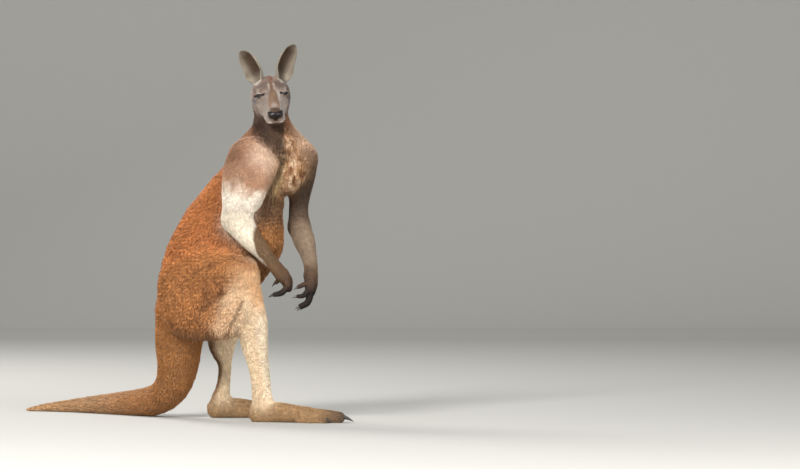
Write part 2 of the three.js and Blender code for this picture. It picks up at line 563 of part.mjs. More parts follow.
// ---------------------------------------------------------------- the pieces of the body
const LIMBS_NEAR_TRUNK = [...TRUNK, ...NEAR_THIGH, ...FAR_THIGH];
const SHOULDERS = [...TRUNK, ...NECK, ...NEAR_UPPER, ...FAR_UPPER];
const PIECES = {                  // masses, the net's corners and cell size, what is kept, what is left out
  head: { masses: [...HEAD, ...NECK], box: [[160, -190, 1040], [345, 120, 1310]],
    cell: [20, 20, 19.5], keep: [CUT.nape], coat: COAT.face },
  neck: { masses: [...SHOULDERS, ...HEAD], box: [[60, -190, 970], [440, 190, 1240]], cell: [38, 38, 36],
    keep: [other(CUT.nape), CUT.collar], coat: COAT.shoulder },
  chest: { masses: SHOULDERS, box: [[-60, -230, 680], [460, 210, 1100]], cell: [46, 46, 44],
    keep: [other(CUT.collar), CUT.waist], drop: [NEAR_ARM_SPACE, FAR_ARM_SPACE], coat: COAT.chest },
  abdomen: { masses: LIMBS_NEAR_TRUNK, box: [[-220, -240, 500], [380, 240, 880]], cell: [54, 50, 52],
    keep: [other(CUT.waist), CUT.loin], drop: [NEAR_ARM_SPACE, NEAR_LEG_SPACE, FAR_LEG_SPACE],
    coat: COAT.rufous },
  hips: { masses: [...LIMBS_NEAR_TRUNK, ...TAIL], box: [[-250, -180, 240], [290, 190, 700]],
    cell: [50, 48, 46], keep: [other(CUT.loin)], drop: [NEAR_LEG_SPACE, FAR_LEG_SPACE, TAIL_SPACE],
    coat: COAT.rufous },
  tail_root: { masses: [...LIMBS_NEAR_TRUNK, ...TAIL], box: [[-250, -80, 80], [40, 240, 370]],
    cell: [44, 42, 44], keep: [...TAIL_SPACE, other(CUT.tailBend)], drop: [[CUT.nearFlank]],
    coat: COAT.rufous },
  tail_bend: { masses: TAIL, box: [[-310, -20, -20], [20, 330, 240]], cell: [40, 40, 38],
    keep: [CUT.tailBend, other(CUT.tailLaid)], coat: COAT.tail },
  tail_laid: { masses: TAIL, box: [[-480, 130, -20], [-130, 500, 150]], cell: [52, 48, 25],
    keep: [CUT.tailLaid, other(CUT.tailMid)], coat: COAT.tail },
  tail_mid: { masses: TAIL, box: [[-650, 320, -12], [-320, 630, 110]], cell: [38, 32, 15],
    keep: [CUT.tailMid, other(CUT.tailTip)], coat: COAT.tail },
  tail_tip: { masses: TAIL, box: [[-720, 500, -8], [-540, 630, 60]], cell: [40, 22, 9.5],
    keep: [CUT.tailTip], coat: COAT.tail },
  near_upper_arm: { masses: SHOULDERS, box: [[-30, -260, 660], [340, 0, 1080]], cell: [38, 34, 48],
    keep: [...NEAR_ARM_SPACE, other(CUT.nearElbow)], coat: COAT.cream },
  near_forearm: { masses: [...NEAR_UPPER, ...NEAR_FORE, ...NEAR_HAND],
    box: [[50, -270, 510], [350, -110, 860]], cell: [27, 23, 27],
    keep: [CUT.nearElbow, other(CUT.nearWrist), CUT.nearArmpit], coat: COAT.arm },
  near_hand: { masses: [...NEAR_FORE, ...NEAR_HAND], box: [[227, -253, 452], [350, -150, 610]],
    cell: [12.5, 11.5, 12.5], keep: [CUT.nearWrist], coat: COAT.hand },
  far_upper_arm: { masses: SHOULDERS, box: [[270, -60, 650], [460, 160, 1080]], cell: [32, 30, 50],
    keep: [...FAR_ARM_SPACE, other(CUT.farElbow)], coat: COAT.arm },
  far_forearm: { masses: [...FAR_UPPER, ...FAR_FORE, ...FAR_HAND], box: [[290, -230, 500], [450, 130, 800]],
    cell: [24, 26, 28], keep: [CUT.farElbow, other(CUT.farWrist)], coat: COAT.arm },
  far_hand: { masses: [...FAR_FORE, ...FAR_HAND], box: [[326, -242, 410], [450, -110, 600]],
    cell: [13, 11.5, 13], keep: [CUT.farWrist], coat: COAT.hand },
  near_thigh: { masses: [...LIMBS_NEAR_TRUNK, ...NEAR_SHANK], box: [[-260, -310, 220], [290, -50, 720]],
    cell: [48, 40, 46], keep: [...NEAR_LEG_SPACE, other(CUT.nearKnee)], coat: COAT.rufous },
  near_shank: { masses: [...NEAR_THIGH, ...NEAR_SHANK, ...NEAR_FOOT.masses],
    box: [[20, -300, 30], [270, -90, 640]], cell: [27, 27, 60],
    keep: [...NEAR_LEG_SPACE, CUT.nearKnee, other(CUT.ankle)], coat: COAT.shin },
  near_foot: { masses: [...NEAR_SHANK, ...NEAR_FOOT.masses], box: [[150, -290, -16], [550, -80, 100]],
    cell: [40, 21, 18], keep: [CUT.ankle], coat: COAT.foot },
  far_thigh: { masses: [...LIMBS_NEAR_TRUNK, ...TAIL, ...FAR_SHANK],
    box: [[-260, 60, 220], [260, 280, 720]], cell: [50, 40, 48],
    keep: [...FAR_LEG_SPACE, other(CUT.farKnee), other(CUT.tailRoot)], coat: COAT.rufous },
  far_shank: { masses: [...FAR_THIGH, ...FAR_SHANK, ...FAR_FOOT.masses],
    box: [[-20, 80, 30], [220, 260, 640]], cell: [27, 27, 60],
    keep: [...FAR_LEG_SPACE, CUT.farKnee, other(CUT.ankle)], coat: COAT.shin },
  far_foot: { masses: [...FAR_SHANK, ...FAR_FOOT.masses], box: [[-20, 48, -10], [390, 210, 100]],
    cell: [40, 21, 18], keep: [CUT.ankle], coat: COAT.foot },
};
const CLAWS = {                   // the claws that grow from each piece
  near_hand: DIGITS_NEAR.map(fingerClaw), far_hand: DIGITS_FAR.map(fingerClaw),
  near_foot: NEAR_FOOT.claws, far_foot: FAR_FOOT.claws,
};

const ground = beyond(plane([0, 0, FLOOR], UP), 0);
function bodyPiece(name, { masses, box, cell, keep, drop = [] }) {
  let solid = solidOf(netOver(flesh(masses), ...box, cell)).intersect(ground);
  solid = solid.intersect(insideAll(keep, GAP / 2));
  for (const space of drop) solid = solid.subtract(insideAll(space, -GAP / 2));
  solid = biggest(solid);
  for (const claw of CLAWS[name] ?? []) solid = solid.subtract(solidOf(clawShape(claw, GAP)));
  if (name === 'head') {
    for (const side of BOTH_SIDES) solid = solid.subtract(solidOf(eyeBall(side, GAP)));
  }
  return geometryFrom(biggest(solid));
}

for (const [name, piece] of Object.entries(PIECES)) {
  addPiece(name, bodyPiece(name, piece), paint(piece.coat));
}
for (const [name, claws] of Object.entries(CLAWS)) {
  claws.forEach((claw, i) => addPiece(`${name}_claw_${i + 1}`,
    geometryFrom(solidOf(clawShape(claw)).intersect(ground)), CLAW_BLACK));
}

const EAR_CLEAR = 0.4;             // a little over GAP, since a swollen facet is nearer than its corners
const headShape = solidOf(swollen(kangaroo.getObjectByName('head').geometry, EAR_CLEAR));
const EARS = {                    // root, tip, and the way the hollow opens
  near_ear: [[206, 2, 1262], [133, 22, 1382], [-0.35, -0.93, 0.05]],
  far_ear: [[279, 12, 1264], [336, 34, 1407], [0.42, -0.9, 0.05]],
};
for (const [name, [root, tip, opening]] of Object.entries(EARS)) {
  const ear = solidOf(earShape(root, tip, opening)).subtract(headShape);
  addPiece(name, geometryFrom(biggest(ear)), paint(COAT.ear));
}
for (const [name, side] of [['near_eye', -1], ['far_eye', 1]]) {
  addPiece(name, geometryFrom(solidOf(eyeBall(side))), paint('#17110d', 0.12));
}

// the origin stands on the floor below the middle of the animal's box
const box = new THREE.Box3().setFromObject(kangaroo);
const middle = box.getCenter(new THREE.Vector3());
kangaroo.position.set(-middle.x, -middle.y, -FLOOR);
kangaroo.updateMatrixWorld(true);

export default kangaroo;
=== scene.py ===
# %% [markdown]
# # A red kangaroo, life size
# An old male rests on his hind feet and tail, with his chest and face turned to us. The model is made the
# way a museum maker works: first the skin over measured masses of flesh, then ears, eyes and claws, and at
# the end the coat, tuft by tuft. The measured solids are loaded first, and every later piece sits on them.

# %% Load the measured solids
import math
import bpy
import bmesh
import numpy as np
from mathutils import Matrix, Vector


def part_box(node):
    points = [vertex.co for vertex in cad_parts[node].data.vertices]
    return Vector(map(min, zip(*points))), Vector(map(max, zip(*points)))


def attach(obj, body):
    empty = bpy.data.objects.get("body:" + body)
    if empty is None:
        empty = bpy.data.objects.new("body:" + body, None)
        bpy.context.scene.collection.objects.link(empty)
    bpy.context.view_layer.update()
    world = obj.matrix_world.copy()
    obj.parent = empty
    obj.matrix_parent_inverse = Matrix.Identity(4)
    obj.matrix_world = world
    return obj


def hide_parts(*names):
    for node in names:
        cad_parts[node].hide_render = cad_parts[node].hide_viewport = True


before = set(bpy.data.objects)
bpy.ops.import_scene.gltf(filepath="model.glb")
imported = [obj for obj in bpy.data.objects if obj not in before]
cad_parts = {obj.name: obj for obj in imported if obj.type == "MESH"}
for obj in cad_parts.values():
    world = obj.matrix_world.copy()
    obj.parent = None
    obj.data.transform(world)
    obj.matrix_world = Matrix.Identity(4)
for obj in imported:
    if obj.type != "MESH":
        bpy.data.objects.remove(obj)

bpy.context.view_layer.update()

# %% [markdown]
# ## Working in millimetres
# An animal is easier to think about in millimetres, with the floor at zero, so the masses below are written
# that way. Blender works in metres and its origin is under the middle of the solids. One offset joins the
# two, and it is measured: the near eye's place in the tables against the same eye in the solids.

# %% Small helpers for directions and for the offset
MM = 0.001
UP, AHEAD = np.array([0.0, 0.0, 1.0]), np.array([1.0, 0.0, 0.0])
HIP_YAW, CHEST_YAW, NECK_YAW = 8, 62, 74       # degrees that hips, chest and neck turn away from +X


def unit(v):
    """The same directions with a length of one."""
    v = np.asarray(v, float)
    return v / np.maximum(np.linalg.norm(v, axis=-1, keepdims=True), 1e-9)


def yawed(degrees):
    """A level direction, turned away from +X towards the camera."""
    return np.array([math.cos(math.radians(degrees)), -math.sin(math.radians(degrees)), 0.0])


FACE_AT, FACE_YAW, FACE_PITCH, FACE_ROLL = np.array([249.0, -20.0, 1219.0]), 81, 24, 6
pitch, roll = math.radians(FACE_PITCH), math.radians(FACE_ROLL)
FORWARD = yawed(FACE_YAW) * math.cos(pitch) - UP * math.sin(pitch)
level = unit(np.cross(UP, FORWARD))
upright = np.cross(FORWARD, level)
LEFT = level * math.cos(roll) + upright * math.sin(roll)
CROWN = upright * math.cos(roll) - level * math.sin(roll)


def on_face(forward, left, up):
    """A place on the head: along the muzzle, to his own left, and up to the crown, from between the eyes."""
    return FACE_AT + FORWARD * forward + LEFT * left + CROWN * up


EYE_RADIUS, EYE_FORWARD, EYE_APART, EYE_UP = 15.5, 6, 41, 8
NEAR, FAR = -1, 1                   # his right side is the near one
EYES = {side: on_face(EYE_FORWARD, EYE_APART * side, EYE_UP) for side in (NEAR, FAR)}
near_eye_box = np.array(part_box("near_eye")).mean(0) / MM
OFFSET = near_eye_box - EYES[NEAR]
OFFSET[2] = 0
print("offset of the tables, mm:", OFFSET.round(2))

# %% [markdown]
# ## Camera, floor and light
# A long lens from 25 metres away keeps the animal's proportions flat and true. The floor sweeps up behind him
# like a roll of studio paper, which is clear from its back so that he can be seen from there too. A large
# soft light from the upper left stands for the sun, a weaker one from the right opens the shadows, and one
# from behind draws his back.

# %% Camera and plain studio
scene = bpy.context.scene
scene.view_settings.view_transform = "Standard"


def linear(code):
    """An sRGB hex colour as linear red, green, blue."""
    srgb = np.array([int(code[i:i + 2], 16) for i in (1, 3, 5)]) / 255
    return np.where(srgb <= 0.04045, srgb / 12.92, ((srgb + 0.055) / 1.055) ** 2.4)


def place_in_metres(points):
    return (np.asarray(points, float) + OFFSET) * MM


CAMERA_PLACE, CAMERA_DOWN = [731, -25000, 1387], 1.585          # mm, and degrees below level
lens = bpy.data.cameras.new("long_lens")
lens.sensor_width, lens.lens = 36, 300
lens.clip_end = 200
camera = bpy.data.objects.new("camera", lens)
camera.location = place_in_metres(CAMERA_PLACE)
camera.rotation_euler = (math.radians(90 - CAMERA_DOWN), 0, 0)
scene.collection.objects.link(camera)
scene.camera = camera


def add_node(tree, kind, links=None, **settings):
    """Adds one shader node; links gives its inputs, settings its properties."""
    node = tree.nodes.new(kind)
    for key, value in settings.items():
        setattr(node, key, value)
    for socket, value in (links or {}).items():
        if isinstance(value, bpy.types.NodeSocket):
            tree.links.new(value, node.inputs[socket])
        else:
            node.inputs[socket].default_value = value
    return node


def new_material(name, **sockets):
    """A material with one Principled shader whose plain values are set here."""
    material = bpy.data.materials.new(name)
    material.use_nodes = True
    shader = material.node_tree.nodes["Principled BSDF"]
    for socket, value in sockets.items():
        shader.inputs[socket.replace("_", " ")].default_value = value
    return material, material.node_tree, shader


paper, tree, shader = new_material("matt_paper", Base_Color=(*linear("#a9a69f"), 1), Roughness=0.95)
seen_from = add_node(tree, "ShaderNodeNewGeometry")
clear = add_node(tree, "ShaderNodeBsdfTransparent")
both = add_node(tree, "ShaderNodeMixShader",
                {0: seen_from.outputs["Backfacing"], 1: shader.outputs[0], 2: clear.outputs[0]})
tree.links.new(both.outputs[0], tree.nodes["Material Output"].inputs["Surface"])

PAPER_FRONT, PAPER_BACK, PAPER_HALF = -9.0, 7.0, 11             # metres along y, and to each side
PAPER_BEND, PAPER_TOP = 2.5, 9.0                                # metres, the bend's radius and the top edge
bend = [(PAPER_BACK + PAPER_BEND * math.sin(a), PAPER_BEND - PAPER_BEND * math.cos(a))
        for a in np.linspace(0.15, math.pi / 2, 12)]
profile = [(PAPER_FRONT, 0), (PAPER_BACK, 0), *bend, (PAPER_BACK + PAPER_BEND, PAPER_TOP)]
sweep = bmesh.new()
edges = [[sweep.verts.new((x, y, z)) for y, z in profile] for x in (-PAPER_HALF, PAPER_HALF)]
for i in range(len(profile) - 1):
    sweep.faces.new((edges[0][i], edges[1][i], edges[1][i + 1], edges[0][i + 1])).smooth = i > 1
floor_mesh = bpy.data.meshes.new("studio_floor")
sweep.to_mesh(floor_mesh)
floor_mesh.materials.append(paper)
floor = bpy.data.objects.new("studio_floor", floor_mesh)
scene.collection.objects.link(floor)

LIGHTS = {                          # place in metres, size in metres, power in watts
    "sun_side": ((-2.7, -6.2, 4.8), 2.2, 900), "open_side": ((4.4, -6.0, 2.4), 3.5, 400),
    "behind": ((-3.0, 3.6, 4.2), 2.5, 330),
}
for name, (place, size, power) in LIGHTS.items():
    area = bpy.data.lights.new(name, "AREA")
    area.size, area.energy = size, power
    light = bpy.data.objects.new(name, area)
    light.location = place
    light.rotation_euler = (Vector((0, 0, 0.75)) - Vector(place)).to_track_quat("-Z", "Y").to_euler()
    scene.collection.objects.link(light)
sky = bpy.data.worlds.new("pale_sky")
scene.world = sky
sky.use_nodes = True
sky.node_tree.nodes["Background"].inputs["Color"].default_value = (*linear("#dfe6ee"), 1)
sky.node_tree.nodes["Background"].inputs["Strength"].default_value = 0.55
print("camera at", [round(v, 3) for v in camera.location])

# %% [markdown]
# ## Masses of flesh
# A mass is a loft through oval sections, such as the ribcage or a calf. Each row gives a section's middle and
# its two radii. A distance field tells how far any point is from the nearest mass, and where two masses meet
# their distances melt into each other, which makes armpits, groins and the folds between muscles. Modelling
# by hand would need hundreds of control points; here each muscle stays one named row that can be changed.
# "lie" says how the hair grows: along the rows, against them, or in a direction of its own.

# %% A mass, and how far a point is from it
LOFT_STEPS = 3                      # pieces of straight loft between two rows
AWAY = 90.0                         # mm, the field's value far from every mass


def spline_rows(rows):
    """A smooth run of rows through the given ones."""
    if len(rows) < 3:
        return rows
    rows = np.vstack([2 * rows[0] - rows[1], rows, 2 * rows[-1] - rows[-2]])
    fine = []
    for a, b, c, d in zip(rows, rows[1:], rows[2:], rows[3:]):
        for t in np.arange(LOFT_STEPS) / LOFT_STEPS:
            fine.append(0.5 * (2 * b + (c - a) * t + (2 * a - 5 * b + 4 * c - d) * t * t
                               + (3 * b - a - 3 * c + d) * t ** 3))
    return np.array(fine + [rows[-2]])


def mass(part, stations, front=AHEAD, blend=30, cap=None, lie=1):
    """A loft through rows of x, y, z, side radius and front radius; cap is how far its ends bulge."""
    stations = np.array(stations, float)
    rows = spline_rows(np.hstack([stations, np.broadcast_to(np.array(front, float), (len(stations), 3))]))
    segments = []
    for start, end in zip(rows, rows[1:]):
        along = end[:3] - start[:3]
        axis = unit(along)
        fore = start[5:8] + end[5:8]
        fore = unit(fore - fore.dot(axis) * axis)
        wide = max(start[3], end[3], start[4], end[4], cap or 0)
        segments.append({
            "start": start, "end": end, "along": along, "fore": fore, "side": np.cross(fore, axis),
            "cap": cap,
            "lie": axis * lie if np.ndim(lie) == 0 else unit(lie),
            "low": np.minimum(start[:3], end[:3]) - wide, "high": np.maximum(start[:3], end[:3]) + wide})
    return {"part": part, "segments": segments, "blend": blend}


def distance_to(segment, x, y, z):
    """How far points are from one straight piece of a mass; negative inside it."""
    start, end, along = segment["start"], segment["end"], segment["along"]
    px, py, pz = x - start[0], y - start[1], z - start[2]
    t = np.clip((px * along[0] + py * along[1] + pz * along[2]) / along.dot(along), 0, 1)
    dx, dy, dz = px - t * along[0], py - t * along[1], pz - t * along[2]
    across = (dx * segment["side"][0] + dy * segment["side"][1] + dz * segment["side"][2]) ** 2
    ahead = (dx * segment["fore"][0] + dy * segment["fore"][1] + dz * segment["fore"][2]) ** 2
    square = dx * dx + dy * dy + dz * dz
    side = start[3] + (end[3] - start[3]) * t
    fore = start[4] + (end[4] - start[4]) * t
    cap = segment["cap"] or (side + fore) / 2
    beyond = np.maximum(square - across - ahead, 0)
    ratio = np.maximum(np.sqrt(across / side ** 2 + ahead / fore ** 2 + beyond / cap ** 2), 1e-6)
    return np.where(ratio < 0.3, -np.minimum(side, fore) * (1 - ratio), np.sqrt(square) * (1 - 1 / ratio))


# %% Trunk, neck and tail
DOWN = (0, 0, -1)
SPINE = [                           # x, y, z, side radius, front radius, and the yaw of the section
    [-62, 12, 428, 118, 116, 6], [-38, 10, 505, 138, 140, HIP_YAW], [0, 6, 590, 148, 158, 12],
    [60, 6, 680, 150, 172, 18], [116, 10, 765, 142, 168, 26], [160, 14, 845, 128, 152, 38],
    [200, 16, 912, 122, 136, 50], [236, 20, 970, 110, 110, 60], [252, 26, 1012, 92, 92, 66],
]
RIGHT = unit(np.cross(yawed(CHEST_YAW), UP))        # his own right, across the chest
BREAST = np.array([274.0, -64.0, 926.0])


def breast(side):
    middle = BREAST + RIGHT * 58 * side
    outer = middle + RIGHT * 34 * side - yawed(CHEST_YAW) * 26 + UP * 30
    inner = middle - RIGHT * 14 * side - UP * 34
    rows = [[*outer, 46, 42], [*middle, 58, 48], [*inner, 50, 40]]
    return mass("breast", rows, yawed(CHEST_YAW), 14, lie=DOWN)


TRUNK = [
    mass("trunk", [row[:5] for row in SPINE], [yawed(row[5]) for row in SPINE], 60, lie=-1),
    mass("belly", [[176, -24, 740, 100, 104], [182, -34, 670, 118, 116], [164, -36, 585, 92, 82]],
         yawed(20), 50),
    mass("belly", [[96, -16, 520, 92, 88], [62, -8, 450, 70, 60]], yawed(HIP_YAW), 60),
    breast(1), breast(-1),
]
NECK = [
    mass("neck", [[254, 30, 1000, 88, 86], [253, 42, 1080, 68, 70], [245, 52, 1165, 66, 62]],
         yawed(NECK_YAW), 40, lie=-1),
    mass("shoulder", [[226, 50, 1096, 40, 40], [190, 40, 1048, 48, 48], [146, 14, 992, 58, 62]],
         yawed(CHEST_YAW), 34),
    mass("shoulder", [[276, 60, 1096, 40, 40], [316, 60, 1056, 44, 44], [358, 54, 1002, 52, 54]],
         yawed(CHEST_YAW), 34),
]
TAIL_LINE = [                       # x, y, z, radius: down from the rump and away along the floor
    [-84, 22, 392, 104], [-100, 42, 300, 93], [-104, 64, 210, 81], [-124, 106, 128, 70], [-176, 178, 72, 62],
    [-252, 264, 52, 54], [-340, 356, 43, 45], [-438, 450, 34, 36], [-534, 526, 25, 27], [-622, 572, 16, 18],
    [-692, 590, 8, 10],
]
TAIL = [mass("tail", [[*row, row[3]] for row in TAIL_LINE], (0.5, 0.5, 0.7), 34)]

# %% Head, in the face's own measures: forward, left, up, half width, half height
def face_mass(part, stations, cap, blend, lie=-1):
    rows = [[*on_face(f, s, u), wide, high] for f, s, u, wide, high in stations]
    return mass(part, rows, CROWN, blend, cap, lie)


def cheek(side):
    """Cheekbone, jaw muscle, upper lip and brow of one side."""
    return [
        face_mass("cheek", [[-52, 47 * side, -12, 22, 38], [-20, 52 * side, -18, 22, 34],
                            [4, 48 * side, -30, 18, 22]], 18, 22),
        face_mass("cheek", [[-58, 44 * side, -44, 24, 36], [-12, 40 * side, -56, 24, 32],
                            [34, 26 * side, -62, 18, 22]], 20, 22),
        face_mass("lips", [[66, 21 * side, -56, 17, 19], [100, 19 * side, -58, 16, 15]], 13, 12),
        face_mass("brow", [[8, 40 * side, 25, 14, 10], [-16, 52 * side, 19, 14, 11]], 10, 16, lie=1),
    ]


HEAD = [
    face_mass("cranium", [[-70, 0, 2, 48, 41], [-38, 0, 6, 60, 53], [-8, 0, 0, 57, 49], [22, 0, -8, 38, 40]],
              30, 24),
    face_mass("bridge",
              [[-6, 0, 14, 38, 36], [40, 0, -4, 29, 31], [80, 0, -20, 26, 25], [106, 0, -30, 25, 19]],
              14, 16),
    face_mass("lips",
              [[-14, 0, -28, 50, 42], [36, 0, -40, 38, 40], [78, 0, -50, 36, 32], [98, 0, -53, 35, 26]],
              16, 20),
    face_mass("nose", [[102, 0, -28, 30, 17], [118, 0, -31, 27, 14]], 9, 8),
    *cheek(-1), *cheek(1),
    face_mass("jaw", [[-40, 0, -66, 42, 28], [40, 0, -74, 27, 17], [84, 0, -76, 22, 12]], 14, 14),
]

# %% Arms and hands
ELBOW_NEAR, ELBOW_FAR = [122, -186, 757, 45, 58], [352, 46, 724, 42, 43]
NEAR_UPPER = [mass("upper_arm", [[185, -70, 985, 60, 92], [172, -104, 940, 62, 94], [158, -134, 895, 60, 90],
                                 [144, -158, 842, 54, 80], [130, -178, 800, 48, 62], ELBOW_NEAR], blend=22)]
FAR_UPPER = [mass("far_arm", [[362, 40, 972, 54, 58], [360, 46, 900, 48, 52], [350, 50, 800, 36, 42],
                              ELBOW_FAR], yawed(CHEST_YAW), 24)]
NEAR_FORE = [mass("forearm", [[122, -186, 757, 45, 56], [170, -204, 692, 42, 44], [222, -207, 631, 29, 32],
                              [262, -203, 586, 25, 27], [290, -198, 552, 24, 27]], (0.7, 0, 0.7), 16)]
FAR_FORE = [mass("far_forearm", [ELBOW_FAR, [372, -22, 672, 40, 42], [388, -88, 626, 31, 32],
                                 [398, -140, 580, 26, 27], [398, -166, 548, 25, 26]], blend=14)]
PALM_NEAR = [[292, -198, 550, 24, 26], [308, -200, 530, 30, 23], [314, -201, 510, 33, 17]]
PALM_FAR = [[398, -168, 546, 25, 26], [400, -178, 516, 30, 25], [398, -186, 492, 32, 20]]
DIGITS_NEAR = [                     # x, y, z and radius of each joint, for four fingers and the first digit
    *([[312, -226 + 13 * i, 508, 11], [292, -228 + 14 * i, 483 if i % 3 else 486, 10.5],
       [264, -226 + 13 * i, 477, 9]] for i in range(4)),
    [[292, -176, 540, 11], [270, -172, 522, 9]],
]
DIGITS_FAR = [
    [[386, -200, 520, 11], [354, -210, 506, 9]],
    [[392, -206, 498, 11], [372, -216, 474, 10], [352, -218, 471, 8.5]],
    [[396, -194, 488, 12], [386, -206, 450, 11], [360, -212, 436, 9]],
    [[398, -180, 486, 12], [389, -188, 446, 11], [364, -194, 430, 9]],
    [[400, -166, 490, 11], [395, -168, 454, 10], [374, -176, 434, 8.5]],
]


def digit(joints):
    return mass("hand", [[*joint, joint[3]] for joint in joints], (0, 1, 0.01), 4)


NEAR_HAND = [mass("hand", PALM_NEAR, (0.8, 0, 0.5), 8), *map(digit, DIGITS_NEAR)]
FAR_HAND = [mass("hand", PALM_FAR, (1, 0.2, 0), 8), *map(digit, DIGITS_FAR)]

# %% Hind legs and long feet
THIGH_LIE = (-0.35, 0, -1)
NEAR_THIGH = [
    mass("thigh", [[-66, -84, 470, 78, 138], [26, -136, 520, 80, 122], [108, -182, 552, 60, 71]],
         UP, 40, 110, THIGH_LIE),
    mass("thigh", [[-60, -110, 408, 72, 100], [10, -150, 402, 72, 102], [62, -172, 400, 58, 90]],
         UP, 24, 100, THIGH_LIE),
    mass("strap", [[126, -222, 500, 34, 34], [104, -218, 430, 42, 46], [76, -204, 352, 40, 44]], blend=26),
    mass("knee", [[130, -206, 556, 50, 50], [156, -212, 538, 50, 50]], blend=24, lie=DOWN),
]
FAR_THIGH = [
    mass("thigh", [[-66, 100, 466, 78, 136], [10, 142, 512, 78, 116], [72, 178, 550, 58, 74]],
         UP, 40, 108, THIGH_LIE),
    mass("thigh", [[-60, 124, 406, 72, 98], [0, 156, 406, 70, 98], [40, 172, 412, 56, 86]],
         UP, 24, 98, THIGH_LIE),
]
NEAR_SHANK = [mass("shank", [[158, -212, 540, 50, 50], [168, -208, 450, 46, 56], [180, -196, 370, 44, 60],
                             [188, -186, 300, 39, 53], [200, -176, 230, 33, 43], [210, -168, 165, 30, 38],
                             [218, -162, 78, 32, 40]], blend=16)]
FAR_SHANK = [mass("shank", [[112, 194, 545, 50, 54], [92, 188, 440, 48, 64], [66, 176, 330, 44, 64],
                            [58, 162, 268, 38, 52], [70, 148, 200, 29, 28], [64, 138, 120, 27, 29],
                            [54, 132, 75, 30, 36]], blend=18)]
FOOT_BONES = [                      # along the foot, outward, height, half width, half height, for each bone
    ([[-12, 0, 34, 26, 37], [50, 0, 38, 29, 40], [120, 0, 33, 34, 36], [180, 0, 27, 36, 31]], 16),
    ([[180, -4, 27, 26, 30], [250, -4, 24, 23, 27], [306, -4, 20, 20, 23]], 12),
    ([[160, 28, 22, 17, 25], [220, 36, 17, 15, 20], [256, 38, 14, 13, 17]], 10),
    ([[165, -30, 16, 12, 19], [212, -36, 12, 11, 15], [240, -37, 10, 10, 12]], 8),
]
FOOT_CLAWS = [[318, -4, 22, 46, 10], [264, 39, 14, 26, 7], [246, -33, 11, 14, 4], [246, -42, 10, 14, 4]]
FEET = {"near": (np.array([206.0, -160.0, 0.0]), 12, 1), "far": (np.array([42.0, 130.0, 0.0]), -4, -1)}


def on_foot(foot, along, aside, height):
    """A place on a foot: forward from the heel, outward from its middle line, and up."""
    heel, yaw, outward = FEET[foot]
    return heel + yawed(yaw) * along + np.cross(yawed(yaw), UP) * outward * aside + UP * height


def foot_masses(foot):
    return [mass("foot", [[*on_foot(foot, a, s, h), w, t] for a, s, h, w, t in rows], UP, blend)
            for rows, blend in FOOT_BONES]


BODY = [*TRUNK, *NECK, *NEAR_UPPER, *FAR_UPPER, *HEAD, *NEAR_THIGH, *FAR_THIGH, *TAIL,
        *NEAR_SHANK, *FAR_SHANK, *foot_masses("near"), *foot_masses("far")]
GROUPS = [BODY, [*NEAR_UPPER, *NEAR_FORE, *NEAR_HAND], [*FAR_UPPER, *FAR_FORE, *FAR_HAND]]
PARTS = sorted({m["part"] for group in GROUPS for m in group})
print(sum(len(group) for group in GROUPS), "masses in", len(PARTS), "parts")

# %% [markdown]
# ## One skin over all the masses
# The body is one animal, so it gets one seamless skin. The distance field is read on a ruled grid whose rows
# stand close together at the head and hands and wider apart elsewhere. A surface net then puts one vertex in
# every cell that the skin passes through. A metaball or a voxel remesh would do the same with one cell size
# for the whole body, and either lose the fingers or spend most faces on the flat back.

# %% The ruled grid and the field on it
def ruled(start, *zones):
    """Grid lines from start; each zone is where it ends and how far apart its lines stand."""
    lines = [np.array([start], float)]
    for end, gap in zones:
        steps = max(1, round((end - lines[-1][-1]) / gap))
        lines.append(np.linspace(lines[-1][-1], end, steps + 1)[1:])
    return np.concatenate(lines).astype(np.float32)


AXES = [
    ruled(-724, (150, 8), (345, 3.2), (440, 4), (572, 6)),
    ruled(-290, (-100, 3.6), (120, 3.4), (640, 8)),
    ruled(-12, (80, 5), (410, 8), (620, 3.6), (1030, 8), (1312, 3.2)),
]


def grid_span(low, high):
    """The part of the grid between two corners, as slices."""
    return tuple(slice(int(np.searchsorted(axis, a)), int(np.searchsorted(axis, b)))
                 for axis, a, b in zip(AXES, low, high))


def melt(whole, near, blend):
    """The nearer of two distances, rounded over a blend where they are alike."""
    soft = np.maximum(blend - np.abs(whole - near), 0) / blend
    return np.minimum(whole, near) - soft * soft * blend / 4


def field_on_grid(masses):
    """The distance to masses that flow together, at every crossing of the grid's lines."""
    whole = np.full([len(axis) for axis in AXES], AWAY, np.float32)
    for each in masses:
        pad = each["blend"] + 14
        low = np.min([segment["low"] for segment in each["segments"]], 0) - pad
        high = np.max([segment["high"] for segment in each["segments"]], 0) + pad
        span = grid_span(low, high)
        near = np.full([s.stop - s.start for s in span], 400, np.float32)
        for segment in each["segments"]:
            inner = grid_span(segment["low"] - pad, segment["high"] + pad)
            x, y, z = np.ix_(*[axis[s] for axis, s in zip(AXES, inner)])
            local = tuple(slice(s.start - t.start, s.stop - t.start) for s, t in zip(inner, span))
            near[local] = np.minimum(near[local], distance_to(segment, x, y, z))
        whole[span] = melt(whole[span], near, each["blend"])
    return whole


# An arm flows into the shoulder but only touches the body lower down, so its blend grows with height.
arm_blend = 2 + 28 * np.clip((AXES[2] - 870) / 90, 0, 1)
field = field_on_grid(GROUPS[0])
for arm in GROUPS[1:]:
    field = melt(field, field_on_grid(arm), arm_blend)
field = np.maximum(field, -AXES[2])                 # the soles and the laid tail are flat on the floor
print("grid of", field.shape, "crossings")


